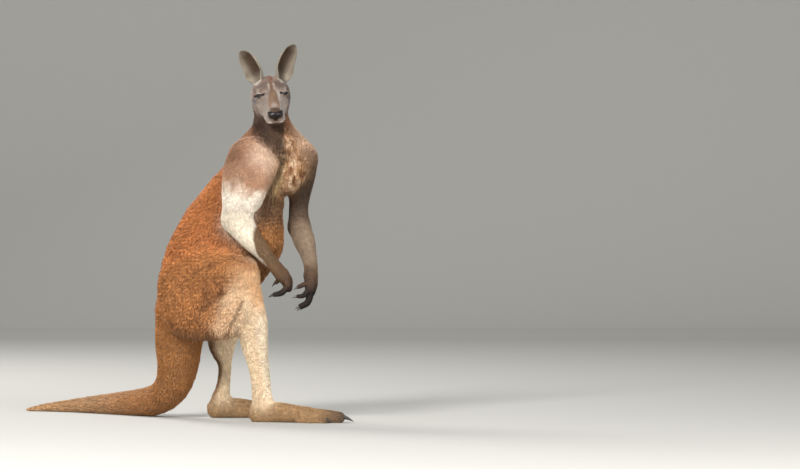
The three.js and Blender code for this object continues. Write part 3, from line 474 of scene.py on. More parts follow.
# %% A surface net: one vertex in every cell that the skin passes through
def surface_net(values):
    """Each vertex is the mean of the places where the skin crosses its cell's edges."""
    inside = values < 0
    shape = np.array(values.shape)
    count = np.zeros(shape - 1, np.int8)
    corners = [np.array([c & 1, c >> 1 & 1, c >> 2 & 1]) for c in range(8)]
    for corner in corners:
        count += inside[tuple(slice(c, s - 1 + c) for c, s in zip(corner, shape))]
    cells = np.argwhere((count > 0) & (count < 8))
    number = np.full(shape - 1, -1, np.int32)
    number[tuple(cells.T)] = np.arange(len(cells))
    at = np.stack([values[tuple((cells + corner).T)] for corner in corners], 1)
    total, crossings = np.zeros((len(cells), 3)), np.zeros((len(cells), 1))
    for a in range(8):
        for axis in range(3):
            b = a | 1 << axis
            if b == a:
                continue
            crossed = ((at[:, a] < 0) != (at[:, b] < 0))[:, None]
            share = (at[:, a] / (at[:, a] - at[:, b] + 1e-20))[:, None]
            total += np.where(crossed, corners[a] + share * (corners[b] - corners[a]), 0)
            crossings += crossed
    within = total / crossings
    points = np.stack([axis[cell] + part * np.diff(axis)[cell]
                       for axis, cell, part in zip(AXES, cells.T, within.T)], 1)
    faces = []
    for axis in range(3):
        u, v = (axis + 1) % 3, (axis + 2) % 3
        low = tuple(slice(0, -1) if i == axis else slice(None) for i in range(3))
        high = tuple(slice(1, None) if i == axis else slice(None) for i in range(3))
        crossing = np.argwhere(inside[low] != inside[high])
        unit_u, unit_v = np.eye(3, dtype=int)[u], np.eye(3, dtype=int)[v]
        shifts = (0 * unit_u, unit_u, unit_u + unit_v, unit_v)
        ring = np.stack([number[tuple((crossing - shift).T)] for shift in shifts], 1)
        flip = ~inside[tuple(crossing.T)]
        ring[flip] = ring[flip, ::-1]
        faces.append(ring)
    return points, np.concatenate(faces)


points, quads = surface_net(field)
del field
print("skin net:", len(points), "points,", len(quads), "faces")

# %% [markdown]
# ## Finer skin on the face
# Eyelids, nostrils and lips need a net of about a millimetre, while the rest is fine at three. Only the faces
# of the head are divided again, twice round the eyes, mouth and nose, so the skin stays one closed sheet.

# %% Divide the faces of the head, then even out the net
def face_place(where):
    """Points in the face's own measures: forward, left, up."""
    return (where - FACE_AT) @ np.stack([FORWARD, LEFT, CROWN], 1)


net = bpy.data.meshes.new("skin")
net.from_pydata(points.tolist(), [], quads.tolist())
skin_bm = bmesh.new()
skin_bm.from_mesh(net)


def before_ears(place):
    return place[0] > -30 and -84 < place[2] < 40


def eyes_and_muzzle(place):
    f, s, u = place
    eye = (f - 12) ** 2 + (abs(s) - 49) ** 2 + (u - EYE_UP) ** 2 < 27 ** 2
    return eye or (f > 56 and u > -72)


HEAD_BASE = 1090                    # mm above the floor
for wanted_at in (before_ears, eyes_and_muzzle):
    middles = np.array([face.calc_center_median() for face in skin_bm.faces])
    chosen = [face for face, middle, place in zip(skin_bm.faces, middles, face_place(middles))
              if middle[2] > HEAD_BASE and wanted_at(place)]
    around = {edge for face in chosen for edge in face.edges}
    bmesh.ops.subdivide_edges(skin_bm, edges=list(around), cuts=1, use_grid_fill=True)
bmesh.ops.triangulate(skin_bm, faces=[f for f in skin_bm.faces if len(f.verts) > 4])
skin_bm.to_mesh(net)
skin_bm.free()


def read_points(mesh):
    flat = np.empty(len(mesh.vertices) * 3, np.float32)
    mesh.vertices.foreach_get("co", flat)
    return flat.reshape(-1, 3).astype(float)


def read_triangles(mesh):
    mesh.calc_loop_triangles()
    flat = np.empty(len(mesh.loop_triangles) * 3, np.int32)
    mesh.loop_triangles.foreach_get("vertices", flat)
    return flat.reshape(-1, 3)


def read_edges(mesh):
    flat = np.empty(len(mesh.edges) * 2, np.int32)
    mesh.edges.foreach_get("vertices", flat)
    return flat.reshape(-1, 2)


def spread(values, edges, rounds, keep=0.5, amount=1.0):
    """Averages values over neighbouring vertices; amount says how much at each vertex."""
    values = np.array(values, float)
    wide = values.reshape(len(values), -1)
    ends = np.concatenate([edges, edges[:, ::-1]])
    count = np.maximum(np.bincount(ends[:, 0], minlength=len(wide)), 1)[:, None]
    for _ in range(rounds):
        total = np.stack([np.bincount(ends[:, 0], column, len(wide)) for column in wide[ends[:, 1]].T], 1)
        mean = total / count
        wide = wide + (mean - wide) * (1 - keep) * np.reshape(amount, (-1, 1))
    return wide.reshape(values.shape)


def point_normals(points, triangles):
    a, b, c = (points[triangles[:, i]] for i in range(3))
    across = np.cross(b - a, c - a)
    return unit(np.stack([np.bincount(triangles.ravel(), np.repeat(column, 3), len(points))
                          for column in across.T], 1))


flesh = read_points(net)
edges = read_edges(net)
triangles = read_triangles(net)
on_head = flesh[:, 2] > 1085
on_hand = (flesh[:, 2] < 600) & (flesh[:, 2] > 405) & (flesh[:, 0] > 225) & (flesh[:, 1] < -140)
flat_sole = flesh[:, 2] < 1.5
softness = np.where(on_head | on_hand, 0.35, 1.0) * ~flat_sole
flesh = spread(flesh, edges, 5, amount=softness)
normals = point_normals(flesh, triangles)
print("skin:", len(flesh), "points,", len(triangles), "triangles")

# %% [markdown]
# ## Which part each point belongs to
# Coat length, colour and lie change from one part to the next, but never at a line. Each vertex therefore
# gets a share in every part, from how near that part's masses are, and everything below is a blend by share.

# %% Shares in the parts, and the lie of the hair
def read_parts(points):
    """Each point's share in every part, and the lie of the hair there."""
    near = np.full((len(PARTS), len(points)), 400.0)
    lie = np.zeros((len(PARTS), len(points), 3))
    for each in (m for group in GROUPS for m in group):
        row = PARTS.index(each["part"])
        for segment in each["segments"]:
            low, high = segment["low"] - 45, segment["high"] + 45
            close = np.flatnonzero(((points > low) & (points < high)).all(1))
            if not len(close):
                continue
            distance = distance_to(segment, *points[close].T)
            better = distance < near[row, close]
            near[row, close[better]] = distance[better]
            lie[row, close[better]] = segment["lie"]
    share = np.exp(-(near - near.min(0)) / np.where(points[:, 2] > 1100, 5, 11))
    share /= share.sum(0)
    return share.T, np.einsum("pn,pnj->nj", share, lie)


share, lie = read_parts(flesh)
share = spread(share, edges, 4)
hanging = np.interp(flesh[:, 2], [930, 980, 1090, 1125], [0, 0.8, 0.8, 0])      # over the shoulders
lie = spread(lie + hanging[:, None] * np.array(DOWN), edges, 14)

# %% The coat of each part, and how far the skin lies under its tips
COAT_COLUMNS = ("colour", "depth", "length", "width", "apart", "woolly")
COAT = {  # hair colour in soft daylight; mm from skin to tips; tufts in mm; 1 is wool
    "trunk": ("#b7723f", 11, 27, 3.3, 4.3, 1),
    "belly": ("#b27a49", 10, 25, 3.2, 4.2, 1),
    "breast": ("#c79b70", 8, 20, 2.8, 3.8, 0.8),
    "neck": ("#7f5d44", 8, 19, 2.7, 3.7, 0.6),
    "shoulder": ("#b98f6f", 9, 20, 2.8, 3.8, 0.6),
    "upper_arm": ("#ece0cf", 6, 16, 2.5, 3.5, 0.35),
    # the far arm's hair is darkened here as painted shade: it hangs in the shadow of the chest
    "far_arm": ("#65503f", 6, 16, 2.5, 3.6, 0.4),
    "forearm": ("#6f5236", 3.4, 11, 2.1, 3.0, 0.1),
    "far_forearm": ("#8c7762", 3.4, 11, 2.1, 3.0, 0.1),
    "hand": ("#21160f", 1.3, 5.5, 1.3, 2.4, 0.1),
    "thigh": ("#b87b47", 11, 27, 3.3, 4.2, 1),
    "strap": ("#e8c39c", 8, 20, 2.9, 3.9, 0.7),
    "knee": ("#d09862", 6, 16, 2.6, 3.6, 0.4),
    "shank": ("#ecd3b0", 4.5, 13, 2.3, 3.4, 0.1),
    "foot": ("#9b7a55", 2.4, 9, 1.9, 3.1, 0.1),
    "tail": ("#b37a46", 8, 20, 2.9, 4.2, 0.6),
    "cranium": ("#8a7364", 3.2, 9, 1.5, 2.3, 0.1),
    "cheek": ("#857468", 3.2, 10, 1.5, 2.3, 0.1),
    "brow": ("#76655a", 2.4, 7, 1.2, 1.9, 0.1),
    "bridge": ("#82695a", 1.8, 6, 1.2, 1.9, 0.1),
    "lips": ("#94847a", 1.5, 5, 1.1, 1.9, 0.1),
    "nose": ("#231915", 0.5, 3, 0.9, 3.0, 0.1),
    "jaw": ("#6a523f", 3, 9, 1.5, 2.5, 0.1),
    "ear": ("#7d7466", 1.6, 6, 1.3, 2.4, 0.1),
}


def coat_value(column, share):
    """A number for every point, blended from its parts' numbers in one column of the table."""
    at = COAT_COLUMNS.index(column)
    return share @ np.array([COAT[part][at] for part in PARTS], float)


depth = spread(coat_value("depth", share), edges, 6)
depth *= np.clip((flesh[:, 2] - 0.5) / 12, 0, 1) ** 0.5         # no coat between the sole and the floor
tail_taper = np.clip((flesh[:, 0] + 700) / 160, 0.25, 1)        # the skin is closer at the tail's tip
depth *= np.where(flesh[:, 1] > 520, tail_taper, 1)
print("coat depth, mm:", depth.min().round(2), "to", depth.max().round(2))

# %% [markdown]
# ## The face: lids, nostrils and mouth
# The lids are what makes an eye look alive. Each lid is a thin sheet that lies on the eyeball, so the skin
# round the eye is drawn onto a slightly larger ball, with an almond opening cut down to the socket. The
# mouth, the groove under the nose and the nostrils are pressed in along named lines, and so are the folds
# where the limbs leave the body. Sculpting would do it too, but here every fold keeps its size in
# millimetres.

# %% Eyelids drawn over the eyeballs
def fade(values, start, end):
    """0 up to start, 1 from end on, and smooth between them."""
    t = np.clip((values - start) / (end - start), 0, 1)
    return t * t * (3 - 2 * t)


LID_THICK, LID_HALF, LID_OPEN_UP, LID_OPEN_LOW = 1.9, 15.5, 4.2, 3.2
LID_DROOP = 0.40                                        # how far the outer corner hangs, against 0.92 outward
NO_EYE = 99.0                                           # lid_gap away from the eyes
skin_points = flesh - normals * depth[:, None]
eye_axes = {}
lid_gap = np.full(len(skin_points), NO_EYE)             # mm outside the lids' opening, over the ball
for side, centre in EYES.items():
    outward = unit(FORWARD * 0.75 + LEFT * 0.66 * side + CROWN * 0.05)
    along = unit(np.cross(CROWN, outward)) * side       # towards the outer corner, level with the face
    along = unit(along * 0.92 - CROWN * LID_DROOP)
    over = np.cross(outward, along) * side
    eye_axes[side] = (outward, along, over)
    ray = skin_points - centre
    reach = np.linalg.norm(ray, axis=1)
    near = np.flatnonzero((reach < 34) & (ray @ outward > 0))
    way = ray[near] / reach[near, None]
    a, b = (way @ along) * EYE_RADIUS, (way @ over) * EYE_RADIUS
    arch = np.clip(1 - (a / LID_HALF) ** 2, -1, 1)
    gap = np.maximum(b - LID_OPEN_UP * arch, -b - LID_OPEN_LOW * arch)
    over_eye = way @ outward
    rim, crease = 1.3 * np.exp(-((gap - 2.5) / 2.2) ** 2), 1.0 * np.exp(-((gap - 7.5) / 1.4) ** 2)
    lid = EYE_RADIUS + LID_THICK + rim - crease
    hold = fade(over_eye, 0.30, 0.72)
    drawn = reach[near] + (np.maximum(lid, reach[near] * 0.6 + lid * 0.4) - reach[near]) * hold
    socket = EYE_RADIUS - 1.6
    drawn = np.where(over_eye > 0.2, socket + (drawn - socket) * fade(gap, -0.6, 0.5), drawn)
    skin_points[near] = centre + way * drawn[:, None]
    lid_gap[near] = np.where(over_eye > 0.2, np.minimum(lid_gap[near], gap), lid_gap[near])
print("points in the two eye openings:", int((lid_gap < 0).sum()))

# %% Mouth line, nostrils and the groove under the nose
def along_line(where, line):
    """The distance of each point from a line of straight pieces."""
    best = np.full(len(where), 1e9)
    for start, end in zip(line, line[1:]):
        start, run = np.array(start, float), np.subtract(end, start)
        t = np.clip((where - start) @ run / run.dot(run), 0, 1)
        best = np.minimum(best, np.linalg.norm(where - start - t[:, None] * run, axis=1))
    return best


def off_mouth(f, u):
    """How far above the closed mouth's line a place on the face is."""
    return u - np.interp(f, [24, 40, 62, 92, 120], [-58, -64, -66, -62, -55])


THROAT = 1085                                           # mm above the floor, where the head begins
place = face_place(skin_points)
f, s, u = place.T
on_face_skin = (skin_points[:, 2] > THROAT) & (f > 0)
press = 2.6 * np.exp(-(off_mouth(f, u) / 1.9) ** 2) * fade(f, 24, 42)
press += 1.3 * np.exp(-(s / 1.3) ** 2) * fade(f, 98, 106) * fade(u, -58, -54) * fade(-u, 34, 38)
for side in (-1, 1):
    nostril = [(122, 8 * side, -37), (118, 15 * side, -31), (109, 24 * side, -27)]
    press += 5.5 * np.exp(-(along_line(place, nostril) / 3.2) ** 2)
    cheek_fold = [(30, 42 * side, -60), (16, 50 * side, -44), (10, 55 * side, -30)]
    press += 1.2 * np.exp(-(along_line(place, cheek_fold) / 3.0) ** 2)
skin_points -= normals * (press * on_face_skin)[:, None]
print("deepest fold on the face, mm:", (press * on_face_skin).max().round(2))

# %% Folds of the body, each a line in x and z, with its width, its depth and the side that it is on
NEAR_SIDE, CHEST_SIDE = (0, -1, 0), yawed(CHEST_YAW)
FOLDS = {
    "top of the thigh": ([(-70, 540), (0, 588), (60, 615), (110, 622), (160, 606)], 15, 8, NEAR_SIDE),
    "behind the strap": ([(146, 452), (122, 394), (84, 318)], 9, 6, NEAR_SIDE),
    "hollow of the thigh": ([(66, 486), (22, 462), (-12, 424)], 14, 7, NEAR_SIDE),
    "edge of the breast": ([(262, 1008), (281, 984), (286, 962), (269, 918), (253, 877), (227, 826)],
                           8, 9, CHEST_SIDE),
    "below the far breast": ([(262, 846), (300, 836), (336, 850), (362, 872)], 15, 5, CHEST_SIDE),
    "root of the neck": ([(184, 1118), (212, 1056), (252, 1018), (290, 1004)], 15, 9, CHEST_SIDE),
    "outer arm muscle": ([(132, 905), (150, 850), (180, 800)], 12, 6, NEAR_SIDE),
}


def fold_strength(where, outward, line, width, toward):
    """1 in the bottom of a fold, fading across its width."""
    seen = fade(outward @ np.array(toward, float), 0.1, 0.5)
    return np.exp(-(along_line(where[:, [0, 2]], line) / width) ** 2) * seen


for name, (line, width, deep, toward) in FOLDS.items():
    amount = fold_strength(skin_points, normals, line, width, toward)
    skin_points -= normals * (amount * deep)[:, None]
    print(name, "has", int((amount > 0.5).sum()), "points")

# %% [markdown]
# ## Ears
# An ear is a leaf of gristle rolled round its length: almost a tube where it grows from the skull and an open
# dish at the tip. It is a grid of rings, so the rolled edge and the thin wall stay under control, and it is
# joined to the skin so that the same coat can cover both.

# %% Rings of an ear
EAR_WIDTH, EAR_WIDEST, EAR_BOW, EAR_WALL = 72, 0.38, 9.6, 2.6
EAR_ROLL, EAR_UNROLL = 146, 92      # degrees to each side at the root, and how much less near the tip
EARS = {                            # root, tip, and the way that the hollow opens
    "near": ([206, 2, 1262], [133, 22, 1382], [-0.35, -0.93, 0.05]),
    "far": ([279, 12, 1264], [336, 34, 1407], [0.42, -0.9, 0.05]),
}


def ear_half_width(t):
    """Half the width of the leaf: it swells fast from the root, stays wide, and ends in a round tip."""
    swell = 0.5 + 0.5 * math.sin(min(t / EAR_WIDEST, 1) * math.pi / 2)
    return EAR_WIDTH / 2 * swell * math.sqrt(1 - max(0, (t - EAR_WIDEST) / (1 - EAR_WIDEST)) ** 2.5)


def ear_sheet(root, tip, opening, rings=32, steps=18):
    """Points and triangles of an ear, which of its points are in the hollow, and its direction."""
    root, tip = np.array(root, float), np.array(tip, float)
    length = np.linalg.norm(tip - root)
    along = unit(tip - root)
    across = unit(np.cross(along, opening))
    hollow = np.cross(across, along)
    points, inner = [], []
    for t in 0.997 - 1.097 * np.linspace(1, 0, rings) ** 1.35:    # the rings are closer towards the tip
        shown = max(t, 0)
        half = ear_half_width(shown)
        turn_out = math.radians(EAR_ROLL - EAR_UNROLL * min(1, shown * 1.6))
        radius = half / math.sin(min(turn_out, math.pi / 2))
        bow = EAR_BOW * math.sin(math.pi * shown)
        wall = min(EAR_WALL, radius * 0.4)
        for scale, edge, way in ((1 - 0.9 / radius, 0.985, 1), (1 - (wall + 0.9) / radius, 0.955, -1)):
            for i in np.linspace(-1, 1, steps)[::way]:
                turn = turn_out * edge * i
                ridge = 0.5 * math.cos(turn * 7) * (way < 0) * math.sin(math.pi * shown)
                size = radius * scale + ridge
                points.append(root + along * (t * length) + across * size * math.sin(turn)
                              + hollow * (radius - size * math.cos(turn) - half * 0.7 - bow))
                inner.append(way < 0)
    ring = 2 * steps
    faces = []
    for r in range(rings - 1):
        for i in range(ring):
            a, b = r * ring + i, r * ring + (i + 1) % ring
            faces += [(a, b, b + ring), (a, b + ring, a + ring)]
    for first, way in ((0, 1), ((rings - 1) * ring, -1)):       # a strip closes each end
        for i in range(steps - 1):
            a, b, c, d = first + i, first + i + 1, first + ring - 2 - i, first + ring - 1 - i
            faces += [(a, c, b)[::way], (a, d, c)[::way]]
    return np.array(points), np.array(faces), np.array(inner), along


PARTS = PARTS + ["ear"]
share = np.hstack([share, np.zeros((len(share), 1))])
ear_hollow = np.zeros(len(skin_points), bool)
for name, (root, tip, opening) in EARS.items():
    ear_points, ear_faces, inner, along = ear_sheet(root, tip, opening)
    ear_normals = point_normals(ear_points, ear_faces)
    centre = ear_points.mean(0)
    outside = np.flatnonzero(~inner)
    if ((ear_points - centre)[outside] * ear_normals[outside]).sum() < 0:
        ear_faces, ear_normals = ear_faces[:, ::-1], -ear_normals
    triangles = np.vstack([triangles, ear_faces + len(skin_points)])
    skin_points = np.vstack([skin_points, ear_points])
    flesh = np.vstack([flesh, ear_points])
    lie = np.vstack([lie, np.tile(along, (len(ear_points), 1))])
    depth = np.append(depth, np.full(len(ear_points), COAT["ear"][1]))
    share = np.vstack([share, np.tile(np.eye(len(PARTS))[-1], (len(ear_points), 1))])
    ear_hollow = np.append(ear_hollow, inner)
lid_gap = np.append(lid_gap, np.full(len(skin_points) - len(lid_gap), NO_EYE))
normals = point_normals(skin_points, triangles)
print("skin with ears:", len(skin_points), "points")

# %% [markdown]
# ## Markings
# A red male is rufous on the back and tail, buff over the shoulders, cream on arms and legs, and grey-brown
# on the face, with hands as dark as soot. Hair is never one colour, so every value is a base for its part,
# then named patches over it, and then a fine and a coarse grain. Skin and coat both take their colour from
# this one function of place, so they always agree.
# Some patches are painted shade and painted highlights, not hair colour; each is named where it is painted.

# %% Grain: a random value at every point, smooth over a size in millimetres
def grain(where, size, seed=0):
    cell = np.floor(where / size).astype(np.int64)
    t = where / size - cell
    t = t * t * (3 - 2 * t)
    total = np.zeros(len(where))
    for corner in range(8):
        bits = np.array([corner & 1, corner >> 1 & 1, corner >> 2 & 1])
        x, y, z = (cell + bits).T
        code = (x * 73856093 ^ y * 19349663 ^ z * 83492791 ^ seed * 2654435761) & 0x7FFFFFFF
        code = ((code ^ (code >> 13)) * 1274126177) & 0x7FFFFFFF
        total += np.where(bits, t, 1 - t).prod(1) * ((code >> 8 & 0xFFFF) / 32767.5 - 1)
    return total


# %% Colours of the parts and the patches on the body
HAIR_COLOURS = np.array([linear(COAT[part][0]) for part in PARTS])


def ball(where, centre, inner, outer):
    """1 within the inner radius of a place, fading to 0 at the outer one."""
    return 1 - fade(np.linalg.norm(where - np.array(centre, float), axis=1), inner, outer)

def between(values, start, full, last, end):
    """1 from full to last, fading to 0 at start and at end."""
    return fade(values, start, full) * (1 - fade(values, last, end))


def markings(where, share, outward):
    """Hair colour at places on the body, from their parts and the way they face, with painted shade and
    highlights.
    """
    x, y, z = where.T
    of = {part: share[:, i] for i, part in enumerate(PARTS)}
    colour = share @ HAIR_COLOURS

    def paint(code, amount):
        colour[:] += (linear(code) - colour) * np.clip(amount, 0, 1)[:, None]

    patchy = grain(where, 34, 3) * 0.6 + grain(where, 15, 4) * 0.4
    trunk = of["trunk"] + of["belly"] + of["breast"] + of["shoulder"] + of["neck"]
    front = outward @ yawed(CHEST_YAW)
    near_side = fade(-y, -20, 60)
    paint("#8d6247", trunk * fade(z, 880, 1010) * 0.75)                                  # nape and withers
    paint("#c0783f", of["trunk"] * (1 - fade(z, 500, 860)) * fade(patchy, -0.1, 0.5) * 0.5)
    arms = of["upper_arm"] + of["shoulder"] + of["breast"] * 0.6
    slanted = z + 0.3 * (x - 150) + 46 * patchy
    paint("#b0876a", arms * near_side * fade(slanted, 826, 918))
    # a pale, mottled patch on the round top of the near shoulder: painted highlight where the light from the
    # upper left falls
    paint("#e6c9b2", arms * near_side * ball(where, [214, -110, 975], 20, 96) * fade(patchy, -0.9, 0.1))
    paint("#7f593f", arms * near_side * ball(where, [132, -96, 978], 28, 98) * 0.85)
    ridge = along_line(where[:, [0, 2]], [(296, 1010), (292, 960), (270, 870), (256, 790)])
    chest = (of["breast"] + of["trunk"] * 0.9 + of["belly"] * 0.8) * fade(front, 0.1, 0.5) * fade(z, 720, 800)
    chest *= fade(x, 110, 190)
    paint("#bf9770", chest)
    paint("#d6b482", chest * (1 - fade(ridge, 7, 20)) * fade(z, 780, 830) * 0.9)  # pale line down the middle
    far_breast = chest * fade(z, 846, 876) * fade(x + 0.2 * (z - 900), 296, 316)
    stains = grain(where, 17, 11) * 0.6 + grain(where, 8, 12) * 0.4
    paint("#8a5932", far_breast * fade(stains, 0.0, 0.25) * 0.9)  # stained, worn patches
    paint("#d8bb9c", far_breast * fade(-stains, 0.1, 0.35) * 0.9)
    paint("#50351f", far_breast * fade(stains, 0.3, 0.5) * 0.7)
    # a dark band from the chin down to the breast on the near side: painted shadow of the head and neck
    neck_shadow_line = along_line(where[:, [0, 2]], [(196, 1128), (212, 1066), (250, 1022), (292, 1004)])
    paint("#46342a", (trunk + of["jaw"]) * (1 - fade(neck_shadow_line, 10, 34)) * fade(-outward[:, 1], 0, 0.4) * 0.9)
    # the front of the throat darkened below the jaw: painted shade under the head
    throat = fade(outward @ yawed(70), 0.25, 0.7) * fade(z, 1004, 1040) * (1 - fade(x, 288, 308))
    paint("#3b271d", throat * (trunk + of["jaw"]) * 0.9)
    edge = along_line(where[:, [0, 2]],
                      [(270, 1006), (289, 984), (294, 962), (277, 918), (261, 877), (235, 822)])
    paint("#4c3424", (chest + of["belly"]) * (1 - fade(edge, 4, 15)) * 0.8)  # shaded side of the breast
    # dark brown below the breasts: painted shade under the breasts and the near arm
    under_breast_shade = fade(z, 706, 770) * (1 - fade(z, 826, 868)) * fade(front, 0.1, 0.5) * fade(x, 196, 222)
    paint("#67452e", trunk * under_breast_shade * 0.8)
    paint("#d9b799", of["shoulder"] * fade(x, 270, 320) * 0.8)                           # far shoulder
    paint("#79502e", of["belly"] * (1 - fade(z, 560, 700)) * 0.55)
    border = np.interp(z, [575, 631, 688, 745, 800], [244, 196, 182, 196, 228]) + 5 * patchy
    cream = 1 - fade(x, border - 6, border + 6)
    below = (of["forearm"] + of["upper_arm"]) * near_side * (1 - fade(z, 772, 800))
    paint("#73583e", below * (1 - cream))
    paint("#e6d9c4", below * cream * fade(z, 578, 612))
    paint("#7d5b3e", (of["far_forearm"] + of["forearm"]) * (1 - fade(z, 556, 612)) * 0.8)
    # the upper far arm darker still: painted shade under the far breast
    paint("#4b3a2e", of["far_arm"] * fade(z, 720, 860) * 0.6)
    paint("#4a3526", of["hand"])
    paint("#221913", of["hand"] * (1 - fade(z, 484, 526)))
    legs = of["thigh"] + of["strap"] + of["knee"] + of["shank"]
    paint("#8a5631", of["thigh"] * fade(patchy, 0.05, 0.5) * 0.75)
    # the thigh darker towards its underside: painted shade under the thigh
    paint("#8a6040", of["thigh"] * (1 - fade(z, 300, 372)) * 0.7)
    near_leg = legs * fade(-y, 60, 120)
    # dark along the hollow of the near thigh: painted shade in the furrow between its muscles
    crease = along_line(where, [(62, -230, 484), (20, -226, 462), (-10, -222, 428)])
    paint("#6e431f", near_leg * (1 - fade(crease, 3, 24)) * 0.8)
    # darker along the crease behind the strap: painted shade between the strap and the shank
    crease = along_line(where, [(143, -236, 450), (118, -236, 392), (82, -224, 322)])
    paint("#9c6a3e", near_leg * (1 - fade(crease, 2, 15)) * 0.7)
    front_leg = near_leg * fade(outward[:, 0], -0.35, 0.5) * fade(x, 96, 150)
    paint("#ddb184", front_leg * (1 - fade(z, 500, 600)))
    paint("#f2e0c5", front_leg * (1 - fade(z, 360, 480)) * 0.9)
    paint("#e2b686", near_leg * ball(where, [92, -232, 410], 14, 42) * 0.7)
    for line, width, _, toward in FOLDS.values():
        shade = fold_strength(where, outward, line, width * 0.8, toward)
        paint("#6d4429", (legs + trunk * (1 - of["breast"])) * shade * 0.45)
    # the back of the far shank darker brown: painted shade, as it stands in the shadow of the thighs
    paint("#8f6a47", of["shank"] * fade(-outward[:, 0], 0.1, 0.8) * (1 - near_side))
    toes = of["foot"] * np.maximum(fade(x, 400, 520) * near_side, fade(x, 230, 350) * (1 - near_side))
    paint("#4a3a2f", toes * 0.8)
    paint("#c9a47b", of["tail"] * fade(y, 150, 480) * 0.6)
    paint("#8e6742", of["tail"] * fade(outward[:, 2], 0.3, 0.95) * 0.5)
    paint_face(where, of, paint)
    tone = 1 + 0.16 * grain(where, 9, 5) + 0.10 * grain(where, 55, 6) + 0.10 * grain(where, 3.5, 7)
    return np.clip(colour * tone[:, None], 0.004, 0.95)


# %% Patches on the face and the ears
def paint_face(where, of, paint):
    f, s, u = face_place(where).T
    side = np.abs(s)
    spot = np.stack([f, side, u], 1)
    face = sum(of[part] for part in ("cranium", "cheek", "brow", "bridge", "lips", "nose", "jaw"))
    front = face * fade(f, -45, -20)
    bridge = np.interp(f, [20, 75, 104], [7, 19, 16])                                    # half its width
    paint("#6c5a52", front * ball(spot, [2, 27, 40], 8, 26) * 0.75)                      # forehead patches
    paint("#b9a899", front * (1 - fade(np.abs(side - 10), 2, 6)) * between(f, 0, 10, 26, 38) * 0.7)
    paint("#7d5a42", front * (1 - fade(side, 3, 7)) * between(f, -6, 6, 40, 60) * fade(u, 0, 10) * 0.8)
    paint("#7d4730", face * (1 - fade(side, 4, 10)) * (1 - fade(f, -12, 6)) * fade(u, 20, 36) * 0.65)
    pale = fade(side, bridge - 2, bridge + 9) * between(f, 16, 42, 104, 114) * fade(u, -62, -54)
    pale *= 1 - fade(side, 44, 54)
    # the pale sides of the muzzle are darker on the near side than on the far one: painted shade on the near
    # side of the face
    paint("#94877c", front * pale * fade(-s, 0, 8) * 0.8)
    paint("#b7aba0", front * pale * fade(s, 0, 8) * 0.8)
    on_bridge = (1 - fade(side, bridge - 4, bridge + 4)) * between(f, 30, 46, 92, 106) * fade(u, -30, -14)
    paint("#7d634d", front * on_bridge)
    # a pale grey spot on the rounded bridge of the nose: painted highlight
    paint("#a99a8e", front * ball(spot, [93, 0, -2], 5, 19) * 0.75)
    paint("#4a3626", face * fade(f, 98, 106) * (1 - fade(side, 14, 22)) * fade(u, -26, -18))
    cheek_stripe = along_line(spot, [(18, 50, -26), (28, 44, -50), (46, 34, -70)])
    paint("#b8aaa0", face * (1 - fade(cheek_stripe, 3, 10)) * 0.75)
    paint("#c0b3a7", face * ball(spot, [12, 48, EYE_UP + 15], 4, 14) * 0.8)              # over the eye
    paint("#aaa098", face * ball(spot, [14, 48, EYE_UP - 17], 4, 12) * 0.75)             # under the eye
    paint("#5e5a5b", face * ball(spot, [0, 61, -24], 9, 25) * 0.9)                     # slate cheek
    # the low back of the face, along the jaw, dark brown: painted shade under the cheek and jaw
    paint("#4b382b", face * (1 - fade(f, -20, 16)) * (1 - fade(u, -54, -34)) * 0.9)
    for row in range(3):
        height = -38 - 7 * row
        dots = (1 - fade(np.abs(u - height), 0.8, 2.4)) * fade(np.sin(f * 0.85 + row * 2), -0.2, 0.6)
        paint("#5f5046", face * dots * between(f, 62, 70, 98, 104) * fade(side, 16, 24) * 0.55)
    paint("#bfb0a3", face * fade(f, 56, 76) * between(u, -64, -60, -57, -52) * fade(side, 10, 18) * 0.5)
    paint("#6a5444", face * ball(spot, [118, 0, -60], 7, 22) * 0.8)
    paint("#4d3827", face * fade(f, 6, 40) * (1 - fade(u, -70, -62)))
    # the near side of the neck below the jaw darkened: painted shade under the head
    paint("#46352a", (of["neck"] + of["jaw"]) * fade(-s, 0, 30) * between(u, -200, -150, -64, -50) * 0.85)
    paint("#15100e", rhinarium(f, side, u) * face)
    tufts = np.maximum(ball(where, [199, -8, 1262], 9, 24), ball(where, [282, -2, 1264], 9, 24))
    paint("#d6cabb", (face + of["ear"]) * tufts * 0.8)


def rhinarium(f, side, u):
    """The bare nose: a wide black V that narrows down to the lip."""
    half = np.interp(u, [-56, -46, -24, -14], [2, 9, 31, 27])
    return fade(f, 96, 103) * (1 - fade(side, half - 1.5, half + 1.5)) * between(u, -58, -54, -17, -12)


